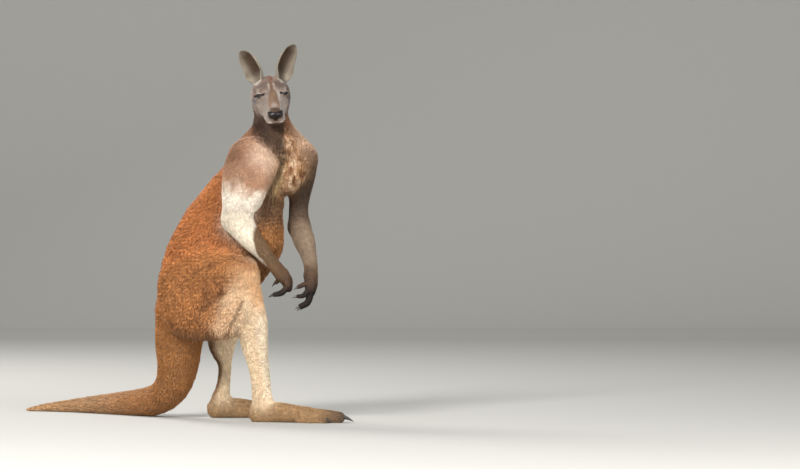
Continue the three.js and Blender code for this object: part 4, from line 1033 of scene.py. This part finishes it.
skin_colour = markings(flesh, share, normals)
place = face_place(flesh)
bare_nose = rhinarium(place[:, 0], np.abs(place[:, 1]), place[:, 2]) * (flesh[:, 2] > THROAT)
lid_rim = 1 - fade(lid_gap, 1.6, 3.4)
skin_colour += (linear("#1c1512") - skin_colour) * lid_rim[:, None]
mouth_dark = np.exp(-(off_mouth(place[:, 0], place[:, 2]) / 2.2) ** 2)
mouth_dark *= fade(place[:, 0], 26, 44) * (flesh[:, 2] > THROAT)
skin_colour += (linear("#2a1d17") - skin_colour) * (mouth_dark * 0.8)[:, None]
EAR_FRINGE, EAR_DARK = linear("#a79884"), linear("#3f2e20")
ear_depth = np.zeros(len(flesh))
for root, tip, opening in EARS.values():
    root, tip = np.array(root, float), np.array(tip, float)
    run = tip - root
    t = np.clip((flesh - root) @ run / run.dot(run), 0, 1)
    middle = root + run * t[:, None]
    across = unit(np.cross(unit(run), opening))
    aside = (flesh - middle) @ (across * np.sign(across[0] * (root[0] - FACE_AT[0])))  # off the other ear
    close = share[:, -1] * (np.linalg.norm(flesh - middle, axis=1) < 48)
    rim = fade(aside, 2, 28) * fade(t, 0.0, 0.2) * 0.6 + fade(-aside, 21, 29) + fade(t, 0.8, 1) * 0.5
    rim += 0.5 * (1 - fade(t, 0.1, 0.4))
    dark = ear_hollow * close * (1 - np.clip(rim, 0, 1))
    ear_depth = np.maximum(ear_depth, dark)


def paint_hollows(colour, hollow, dark):
    """The ears' hollows are fringed with pale hair and dark in the middle."""
    colour += (EAR_FRINGE - colour) * (hollow * (1 - dark))[:, None] * 0.8
    colour += (EAR_DARK - colour) * dark[:, None]

paint_hollows(skin_colour, ear_hollow, ear_depth)
print("mean colour of the skin, linear:", skin_colour.mean(0).round(3))

# %% [markdown]
# ## Skin material
# Under the coat is soft hide with short underfur: dull, with a fine streaky relief. On the nose and the lid
# rims it is bare, black and moist. One material does both, as its roughness follows a value that is stored in
# the skin itself.

# %% The skin as one object, with its colour, its moisture and its unwrap
def new_mesh(name, points, faces, material):
    """A mesh from points in table millimetres and triangles, with smooth shading."""
    mesh = bpy.data.meshes.new(name)
    mesh.vertices.add(len(points))
    mesh.vertices.foreach_set("co", place_in_metres(points).astype(np.float32).ravel())
    mesh.loops.add(faces.size)
    mesh.loops.foreach_set("vertex_index", faces.astype(np.int32).ravel())
    mesh.polygons.add(len(faces))
    mesh.polygons.foreach_set("loop_start", np.arange(0, faces.size, faces.shape[1], dtype=np.int32))
    mesh.polygons.foreach_set("use_smooth", np.ones(len(faces), bool))
    mesh.update(calc_edges=True)
    mesh.materials.append(material)
    return mesh


def store_colour(mesh, values):
    """Keeps a colour at every point; the materials read it by its name."""
    layer = mesh.color_attributes.new("Coat", "FLOAT_COLOR", "POINT")
    layer.data.foreach_set("color", np.hstack([values, np.ones((len(values), 1))]).astype(np.float32).ravel())


def add_piece(name, mesh, slot, *nodes):
    """Puts a mesh into the scene on the root body, in the place of the named solids."""
    piece = bpy.data.objects.new(name, mesh)
    scene.collection.objects.link(piece)
    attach(piece, "root")
    if nodes:
        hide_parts(*nodes)
    return piece


def streaked_coat(tree, shader, size, detail, roughness, darkest, lightest):
    """The stored colour of the coat, darker and lighter in streaks of a size in metres."""
    stored = add_node(tree, "ShaderNodeAttribute", attribute_name="Coat")
    place_node = add_node(tree, "ShaderNodeTexCoord")
    streaks = add_node(tree, "ShaderNodeTexNoise", {"Vector": place_node.outputs["Object"], "Scale": 1 / size,
                                                    "Detail": detail, "Roughness": roughness})
    tone = add_node(tree, "ShaderNodeMapRange", {"Value": streaks.outputs["Fac"], "From Min": 0.25,
                                                 "From Max": 0.75, "To Min": darkest, "To Max": lightest})
    shaded = add_node(tree, "ShaderNodeVectorMath",
                      {0: stored.outputs["Color"], 1: tone.outputs["Result"]}, operation="MULTIPLY")
    tree.links.new(shaded.outputs["Vector"], shader.inputs["Base Color"])
    return streaks

hide, tree, shader = new_material("soft_hide", IOR=1.44, Specular_IOR_Level=0.35)
moisture = add_node(tree, "ShaderNodeAttribute", attribute_name="Moist")
streaks = streaked_coat(tree, shader, 0.004, 3, 0.6, 0.8, 1.15)
rough = add_node(tree, "ShaderNodeMapRange",
                 {"Value": moisture.outputs["Fac"], "To Min": 0.85, "To Max": 0.32})
relief = add_node(tree, "ShaderNodeBump",
                  {"Height": streaks.outputs["Fac"], "Strength": 0.35, "Distance": 0.0006})
tree.links.new(rough.outputs["Result"], shader.inputs["Roughness"])
tree.links.new(relief.outputs["Normal"], shader.inputs["Normal"])

skin_mesh = new_mesh("skin", skin_points, triangles, hide)
store_colour(skin_mesh, skin_colour)
moist = skin_mesh.attributes.new("Moist", "FLOAT", "POINT")
moist.data.foreach_set("value", np.clip(bare_nose + lid_rim * 0.9, 0, 1).astype(np.float32))
flesh_nodes = [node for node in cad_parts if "claw" not in node and not node.endswith("_eye")]
skin = add_piece("skin", skin_mesh, "rufous_coat", *flesh_nodes)

bpy.context.view_layer.objects.active = skin
skin.select_set(True)
bpy.ops.object.mode_set(mode="EDIT")
bpy.ops.mesh.select_all(action="SELECT")
bpy.ops.uv.smart_project(angle_limit=math.radians(72), island_margin=0.001)
bpy.ops.object.mode_set(mode="OBJECT")
skin_mesh.uv_layers[0].name = "OFBake"
unwrap = np.empty(len(skin_mesh.loops) * 2, np.float32)
skin_mesh.uv_layers[0].data.foreach_get("uv", unwrap)
unwrap = unwrap.reshape(-1, 3, 2)                    # three corners for each triangle
print("skin replaces", len(flesh_nodes), "nodes")

# %% [markdown]
# ## Eyes
# A kangaroo's eye is dark brown with a round black pupil and a wet, clear front that bulges a little. The
# ball is turned on a lathe of rings round its own line of sight. Iris and pupil are painted by distance from
# that line, and a clear coat gives the wet glint.

# %% Eyeballs
CORNEA_RISE, IRIS_RADIUS, PUPIL_RADIUS = 1.1, 9.5, 5.0
eye_glass, tree, shader = new_material("wet_eye", IOR=1.376, Roughness=0.12,
                                       Coat_Weight=1.0, Coat_Roughness=0.03)
iris_place = add_node(tree, "ShaderNodeAttribute", attribute_name="FromSight")
iris_ramp = add_node(tree, "ShaderNodeValToRGB", {"Fac": iris_place.outputs["Fac"]})
iris_ramp.color_ramp.elements[0].position = PUPIL_RADIUS / EYE_RADIUS
iris_ramp.color_ramp.elements[0].color = (*linear("#050303"), 1)
iris_ramp.color_ramp.elements[1].position = PUPIL_RADIUS / EYE_RADIUS + 0.05
iris_ramp.color_ramp.elements[1].color = (*linear("#2c180c"), 1)
for past_rim, code in ((-0.05, "#1c0f08"), (0.03, "#0c0706")):
    iris_ramp.color_ramp.elements.new(IRIS_RADIUS / EYE_RADIUS + past_rim).color = (*linear(code), 1)
tree.links.new(iris_ramp.outputs["Color"], shader.inputs["Base Color"])

EYE_RINGS, EYE_SIDES = 34, 48

def tube_faces(rings, sides):
    """Triangles of a tube of rings, with both of its ends closed."""
    start = np.arange(rings - 1)[:, None] * sides
    a, b = (start + np.arange(sides)).ravel(), (start + (np.arange(sides) + 1) % sides).ravel()
    last = (rings - 1) * sides
    ends = [[0, i + 1, i] for i in range(1, sides - 1)]
    ends += [[last, last + i, last + i + 1] for i in range(1, sides - 1)]
    return np.vstack([np.stack([a, b, b + sides], 1), np.stack([a, b + sides, a + sides], 1), ends])

def faced_out(points, faces, middle):
    """The same triangles, turned over if they face inward."""
    return faces[:, ::-1] if (point_normals(points, faces) * (points - middle)).sum() < 0 else faces

for side, name in ((NEAR, "near_eye"), (FAR, "far_eye")):
    tilt = np.linspace(0.02, math.pi - 0.02, EYE_RINGS)[:, None]
    turn = np.linspace(0, 2 * math.pi, EYE_SIDES + 1)[:-1]
    radius = EYE_RADIUS - 0.5 + CORNEA_RISE * np.exp(-(tilt / 0.5) ** 2) * 0.8
    ring = np.stack([np.cos(tilt) * np.ones_like(turn), np.sin(tilt) * np.cos(turn),
                     np.sin(tilt) * np.sin(turn)], -1)
    eye_points = (EYES[side] + (ring * radius[..., None]) @ np.stack(eye_axes[side])).reshape(-1, 3)
    faces = faced_out(eye_points, tube_faces(EYE_RINGS, EYE_SIDES), EYES[side])
    eye_mesh = new_mesh(name + "ball", eye_points, faces, eye_glass)
    from_sight = np.where(tilt[:, 0] < math.pi / 2, np.sin(tilt[:, 0]), 1)
    sight = eye_mesh.attributes.new("FromSight", "FLOAT", "POINT")
    sight.data.foreach_set("value", np.repeat(from_sight, EYE_SIDES).astype(np.float32))
    add_piece(name + "ball", eye_mesh, "eye", name)
print("eyes of", 2 * EYE_RADIUS, "mm")

# %% [markdown]
# ## Claws
# Claws are horn: black-brown, ridged along their length and polished by wear towards the point. Each is a
# tapering tube that curves down. A cone would be simpler, but a claw has a flat underside and a sharper ridge
# on top, so its rings are egg-shaped.

# %% Horn and the claws of hands and feet
horn, tree, shader = new_material("claw_horn", IOR=1.54, Coat_Weight=0.15, Coat_Roughness=0.2)
place_node = add_node(tree, "ShaderNodeTexCoord")
grow = add_node(tree, "ShaderNodeTexNoise",
                {"Vector": place_node.outputs["Object"], "Scale": 1 / 0.0035, "Detail": 4})
horn_ramp = add_node(tree, "ShaderNodeValToRGB", {"Fac": grow.outputs["Fac"]})
horn_ramp.color_ramp.elements[0].color = (*linear("#120f0d"), 1)
horn_ramp.color_ramp.elements[1].color = (*linear("#40352c"), 1)
worn = add_node(tree, "ShaderNodeMapRange", {"Value": grow.outputs["Fac"], "To Min": 0.3, "To Max": 0.55})
ridges = add_node(tree, "ShaderNodeBump",
                  {"Height": grow.outputs["Fac"], "Strength": 0.25, "Distance": 0.0005})
tree.links.new(horn_ramp.outputs["Color"], shader.inputs["Base Color"])
tree.links.new(worn.outputs["Result"], shader.inputs["Roughness"])
tree.links.new(ridges.outputs["Normal"], shader.inputs["Normal"])

CLAW_RINGS, CLAW_SIDES = 12, 14


def claw_rings(root, way, length, radius):
    across = unit(np.cross(way, UP))
    above = np.cross(across, way)
    turn = np.arange(CLAW_SIDES) / CLAW_SIDES * 2 * math.pi
    points = []
    for t in np.linspace(-0.8 * radius / length, 0.985, CLAW_RINGS):
        size = radius * 0.9 * (1 - max(t, 0) ** 1.25) + radius * 0.06
        drop = length * 0.19 * max(t, 0) ** 2
        middle = root + way * (t * length) - above * drop
        high = np.sin(turn) * np.where(np.sin(turn) < 0, 0.8, 1.0)
        points.append(middle + across * (np.cos(turn) * size * 0.8)[:, None] + above * (high * size)[:, None])
    points = np.concatenate(points)
    ring_middle = np.repeat(points.reshape(CLAW_RINGS, CLAW_SIDES, 3).mean(1), CLAW_SIDES, 0)
    return points, faced_out(points, tube_faces(CLAW_RINGS, CLAW_SIDES), ring_middle)

def finger_claw(joints):
    before, tip = (np.array(joint[:3], float) for joint in joints[-2:])
    way = unit(tip - before)
    return tip + way * 6, way, 18, 5.2


CLAWS = {"near_hand": [finger_claw(d) for d in DIGITS_NEAR], "far_hand": [finger_claw(d) for d in DIGITS_FAR]}
for foot in FEET:
    way = unit(yawed(FEET[foot][1]) - UP * 0.2)
    CLAWS[foot + "_foot"] = [(on_foot(foot, a, s, h), way, length, r) for a, s, h, length, r in FOOT_CLAWS]
for limb, claws in CLAWS.items():
    for i, claw in enumerate(claws, 1):
        points, faces = claw_rings(*claw)
        points[:, 2] = np.maximum(points[:, 2], 0)
        claw_mesh = new_mesh(f"{limb}_claw_{i}_horn", points, faces, horn)
        add_piece(f"{limb}_claw_horn_{i}", claw_mesh, "claw_horn", f"{limb}_claw_{i}")
print(sum(map(len, CLAWS.values())), "claws")

# %% [markdown]
# ## The coat
# Real fur can't leave Blender as hair, so it is built of thin solid tufts: three points at the root, three at
# the bend and one at the tip. About 150 000 of them lie over each other like thatch. They are all the same
# few triangles, so they are made with whole-array arithmetic and not one at a time.

# %% Roots, spread evenly over the skin
MOST_TUFTS, BALD_RIM = 149_000, 3.4         # and mm round the lids' opening without tufts
chance = np.random.default_rng(7)

def corner_mean(values, chosen, weights):
    """A value of the skin's points at places inside its triangles."""
    return np.einsum("nc,nc...->n...", weights, values[triangles[chosen]])


apart_at = coat_value("apart", share)
a, b, c = (skin_points[triangles[:, i]] for i in range(3))
areas = np.linalg.norm(np.cross(b - a, c - a), axis=1) / 2
bald = np.clip(bare_nose * 1.5 + (lid_gap < BALD_RIM), 0, 1)
bald = np.maximum(bald, (flesh[:, 2] < 1.2))
wanted = areas / apart_at[triangles].mean(1) ** 2 * 3.2
count = np.floor(wanted + chance.random(len(wanted))).astype(int)
root_face = np.repeat(np.arange(len(triangles)), count)
weights = chance.dirichlet((1, 1, 1), len(root_face))
keep = corner_mean(bald, root_face, weights) < 0.5
root_face, weights = root_face[keep], weights[keep]
roots = corner_mean(skin_points, root_face, weights)
apart = corner_mean(apart_at, root_face, weights)
stride = 1.06 ** np.round(np.log(apart) / np.log(1.06)) * 0.97
cells = np.column_stack([np.floor(roots / stride[:, None]), np.round(stride * 100)]).astype(np.int64)
code = ((cells[:, 0] * 4099 + cells[:, 1]) * 4099 + cells[:, 2]) * 8191 + cells[:, 3]
first = np.unique(code, return_index=True)[1]
if len(first) > MOST_TUFTS:
    first = chance.choice(first, MOST_TUFTS, replace=False)
first = np.sort(first)
root_face, weights, roots = root_face[first], weights[first], roots[first]
print("tufts:", len(roots))

# %% Lay every tuft along the lie of the hair
outward = unit(corner_mean(normals, root_face, weights))
root_share = corner_mean(share, root_face, weights)
root_flesh = corner_mean(flesh, root_face, weights)
root_depth = corner_mean(depth, root_face, weights)
way = corner_mean(lie, root_face, weights)
length, width = coat_value("length", root_share), coat_value("width", root_share)
woolly = coat_value("woolly", root_share)
way = way + np.array([0, 0, -0.25]) * woolly[:, None]
way = unit(way - outward * (way * outward).sum(1)[:, None])
aside = np.cross(outward, way)
swirl = (0.38 * grain(root_flesh, 46, 11) + 0.42 * grain(root_flesh, 17, 12)) * (0.25 + 0.75 * woolly)
swirl += chance.normal(0, 0.10, len(roots))
way, aside = (way * np.cos(swirl)[:, None] + aside * np.sin(swirl)[:, None],
              aside * np.cos(swirl)[:, None] - way * np.sin(swirl)[:, None])
length = length * chance.uniform(0.75, 1.1, len(roots)) * (1 + 0.12 * grain(root_flesh, 30, 13))
length *= 1 - 0.45 * ball(root_flesh, [165, -96, 1046], 24, 70)  # flat over the shoulder's top
width = width * chance.uniform(0.75, 1.2, len(roots))
stand = 0.80 + 0.24 * grain(root_flesh, 20, 14) + chance.normal(0, 0.08, len(roots))
height = root_depth * np.clip(stand, 0.35, 1.05)
height = np.maximum(height, 0.6)
run = np.sqrt(np.maximum(length ** 2 - height ** 2, (length * 0.5) ** 2))
bend = roots + way * (run * 0.46)[:, None] + outward * (height * 0.68)[:, None]
tip = roots + way * run[:, None] + outward * height[:, None]


# %% Draw the tips together into locks
LOCK_SIZE = 15                      # mm across a lock of wool on the trunk
lock = np.floor((tip + 400) / LOCK_SIZE + 0.35 * grain(tip, 23, 15)[:, None]).astype(np.int64)
lock_code = (lock[:, 0] * 4099 + lock[:, 1]) * 4099 + lock[:, 2]
_, lock_of, members = np.unique(lock_code, return_inverse=True, return_counts=True)
middle = np.stack([np.bincount(lock_of, tip[:, i]) for i in range(3)], 1) / members[:, None]
pull = (middle[lock_of] - tip) * (0.42 * woolly)[:, None]
tip += pull
bend += pull * 0.35
FLOOR_GAP = 0.4                     # mm that bends and tips stay above the floor
bend[:, 2], tip[:, 2] = np.maximum(bend[:, 2], FLOOR_GAP), np.maximum(tip[:, 2], FLOOR_GAP)
print("locks:", len(members), "- tips stand", (height.mean()).round(1), "mm off the skin on average")

# %% Colour at root, bend and tip
root_colour = markings(root_flesh, root_share, outward)
paint_hollows(root_colour, corner_mean(ear_hollow.astype(float), root_face, weights),
              corner_mean(ear_depth, root_face, weights))
root_colour *= chance.normal(1, 0.09, len(roots)).clip(0.7, 1.3)[:, None]
lock_tone = chance.normal(1, 0.055, len(members))[lock_of]
root_colour *= (1 + (lock_tone - 1) * woolly)[:, None]
root_dark = (0.82 - 0.24 * woolly)[:, None]                     # short flat hair hides its roots
rows = [root_colour * root_dark, root_colour * 0.96, np.clip(root_colour * 1.12 + 0.005, 0, 0.95)]

# %% Seven points and ten triangles for each tuft
sunk = np.minimum(root_depth * 0.2, 1.2) + 0.3
base = roots - outward * sunk[:, None]
half, thick = (width / 2)[:, None], (width * 0.38)[:, None]
tuft_points = np.stack([
    base - aside * half, base + aside * half, base + outward * thick,
    bend - aside * half * 0.8, bend + aside * half * 0.8, bend + outward * thick * 0.8, tip], 1)
tuft_points[..., 2] = np.maximum(tuft_points[..., 2], 0.1)
TUFT_FACES = np.array([[0, 2, 1], [0, 1, 4], [0, 4, 3], [1, 2, 5], [1, 5, 4], [2, 0, 3], [2, 3, 5],
                       [3, 4, 6], [4, 5, 6], [5, 3, 6]])
if np.cross(aside[0], way[0]).dot(outward[0]) > 0:
    TUFT_FACES = TUFT_FACES[:, ::-1]
tuft_colours = np.stack([rows[0]] * 3 + [rows[1]] * 3 + [rows[2]], 1)
PATCH = 0.003                       # each tuft's square on the unwrap, at its root
corner_patch = np.array([[-0.5, -0.5], [0.5, -0.5], [0, -0.4], [-0.4, 0.1], [0.4, 0.1], [0, 0.15],
                         [0, 0.5]]) * PATCH
root_uv = np.einsum("nc,ncj->nj", weights, unwrap[root_face])
root_uv = np.clip(root_uv, PATCH, 1 - PATCH)

# %% [markdown]
# ## Wool and guard hair
# Kangaroo hair is keratin, with an index of refraction near 1.54, but a lock of it scatters light in its
# depth and looks soft. So the roughness is high, and a little sheen lights the tips where they turn away.

# %% The coat's material
wool, tree, shader = new_material("kangaroo_wool", IOR=1.54, Roughness=0.78, Specular_IOR_Level=0.16,
                                  Sheen_Weight=0.06, Sheen_Roughness=0.5)
streaked_coat(tree, shader, 0.0022, 2, 0.5, 0.88, 1.12)

# %% The coat in pieces of fewer than 200 000 triangles
REGIONS = {
    "head": ("cranium", "cheek", "brow", "bridge", "lips", "nose", "jaw", "ear"),
    "shoulders": ("neck", "shoulder", "breast"),
    "arms": ("upper_arm", "far_arm", "forearm", "far_forearm", "hand"),
    "trunk": ("trunk", "belly"),
    "legs": ("thigh", "strap", "knee", "shank", "foot"),
    "tail": ("tail",),
}
SLOTS = {"head": "face_coat", "shoulders": "shoulder_coat", "arms": "arm_coat", "trunk": "rufous_coat",
         "legs": "shin_coat", "tail": "tail_coat"}
MOST_IN_PIECE = 19_500
part_of_root = root_share.argmax(1)
for region, parts in REGIONS.items():
    members_here = np.flatnonzero(np.isin(part_of_root, [PARTS.index(part) for part in parts]))
    members_here = members_here[np.argsort(roots[members_here, 2], kind="stable")]
    pieces_needed = math.ceil(len(members_here) / MOST_IN_PIECE)
    for i, chosen in enumerate(np.array_split(members_here, pieces_needed), 1):
        faces = (TUFT_FACES[None] + 7 * np.arange(len(chosen))[:, None, None]).reshape(-1, 3)
        coat_mesh = new_mesh(f"coat_{region}_{i}", tuft_points[chosen].reshape(-1, 3), faces, wool)
        store_colour(coat_mesh, tuft_colours[chosen].reshape(-1, 3))
        patches = root_uv[chosen][:, None] + corner_patch[None]
        bake_map = coat_mesh.uv_layers.new(name="OFBake")
        bake_map.data.foreach_set("uv", patches.reshape(-1, 2)[faces.ravel()].astype(np.float32).ravel())
        add_piece(f"coat_{region}_{i}", coat_mesh, SLOTS[region])
        print(f"coat_{region}_{i}:", len(chosen), "tufts,", len(faces), "triangles")

# %% [markdown]
# ## Finish

# %% The last line
bpy.context.view_layer.update()
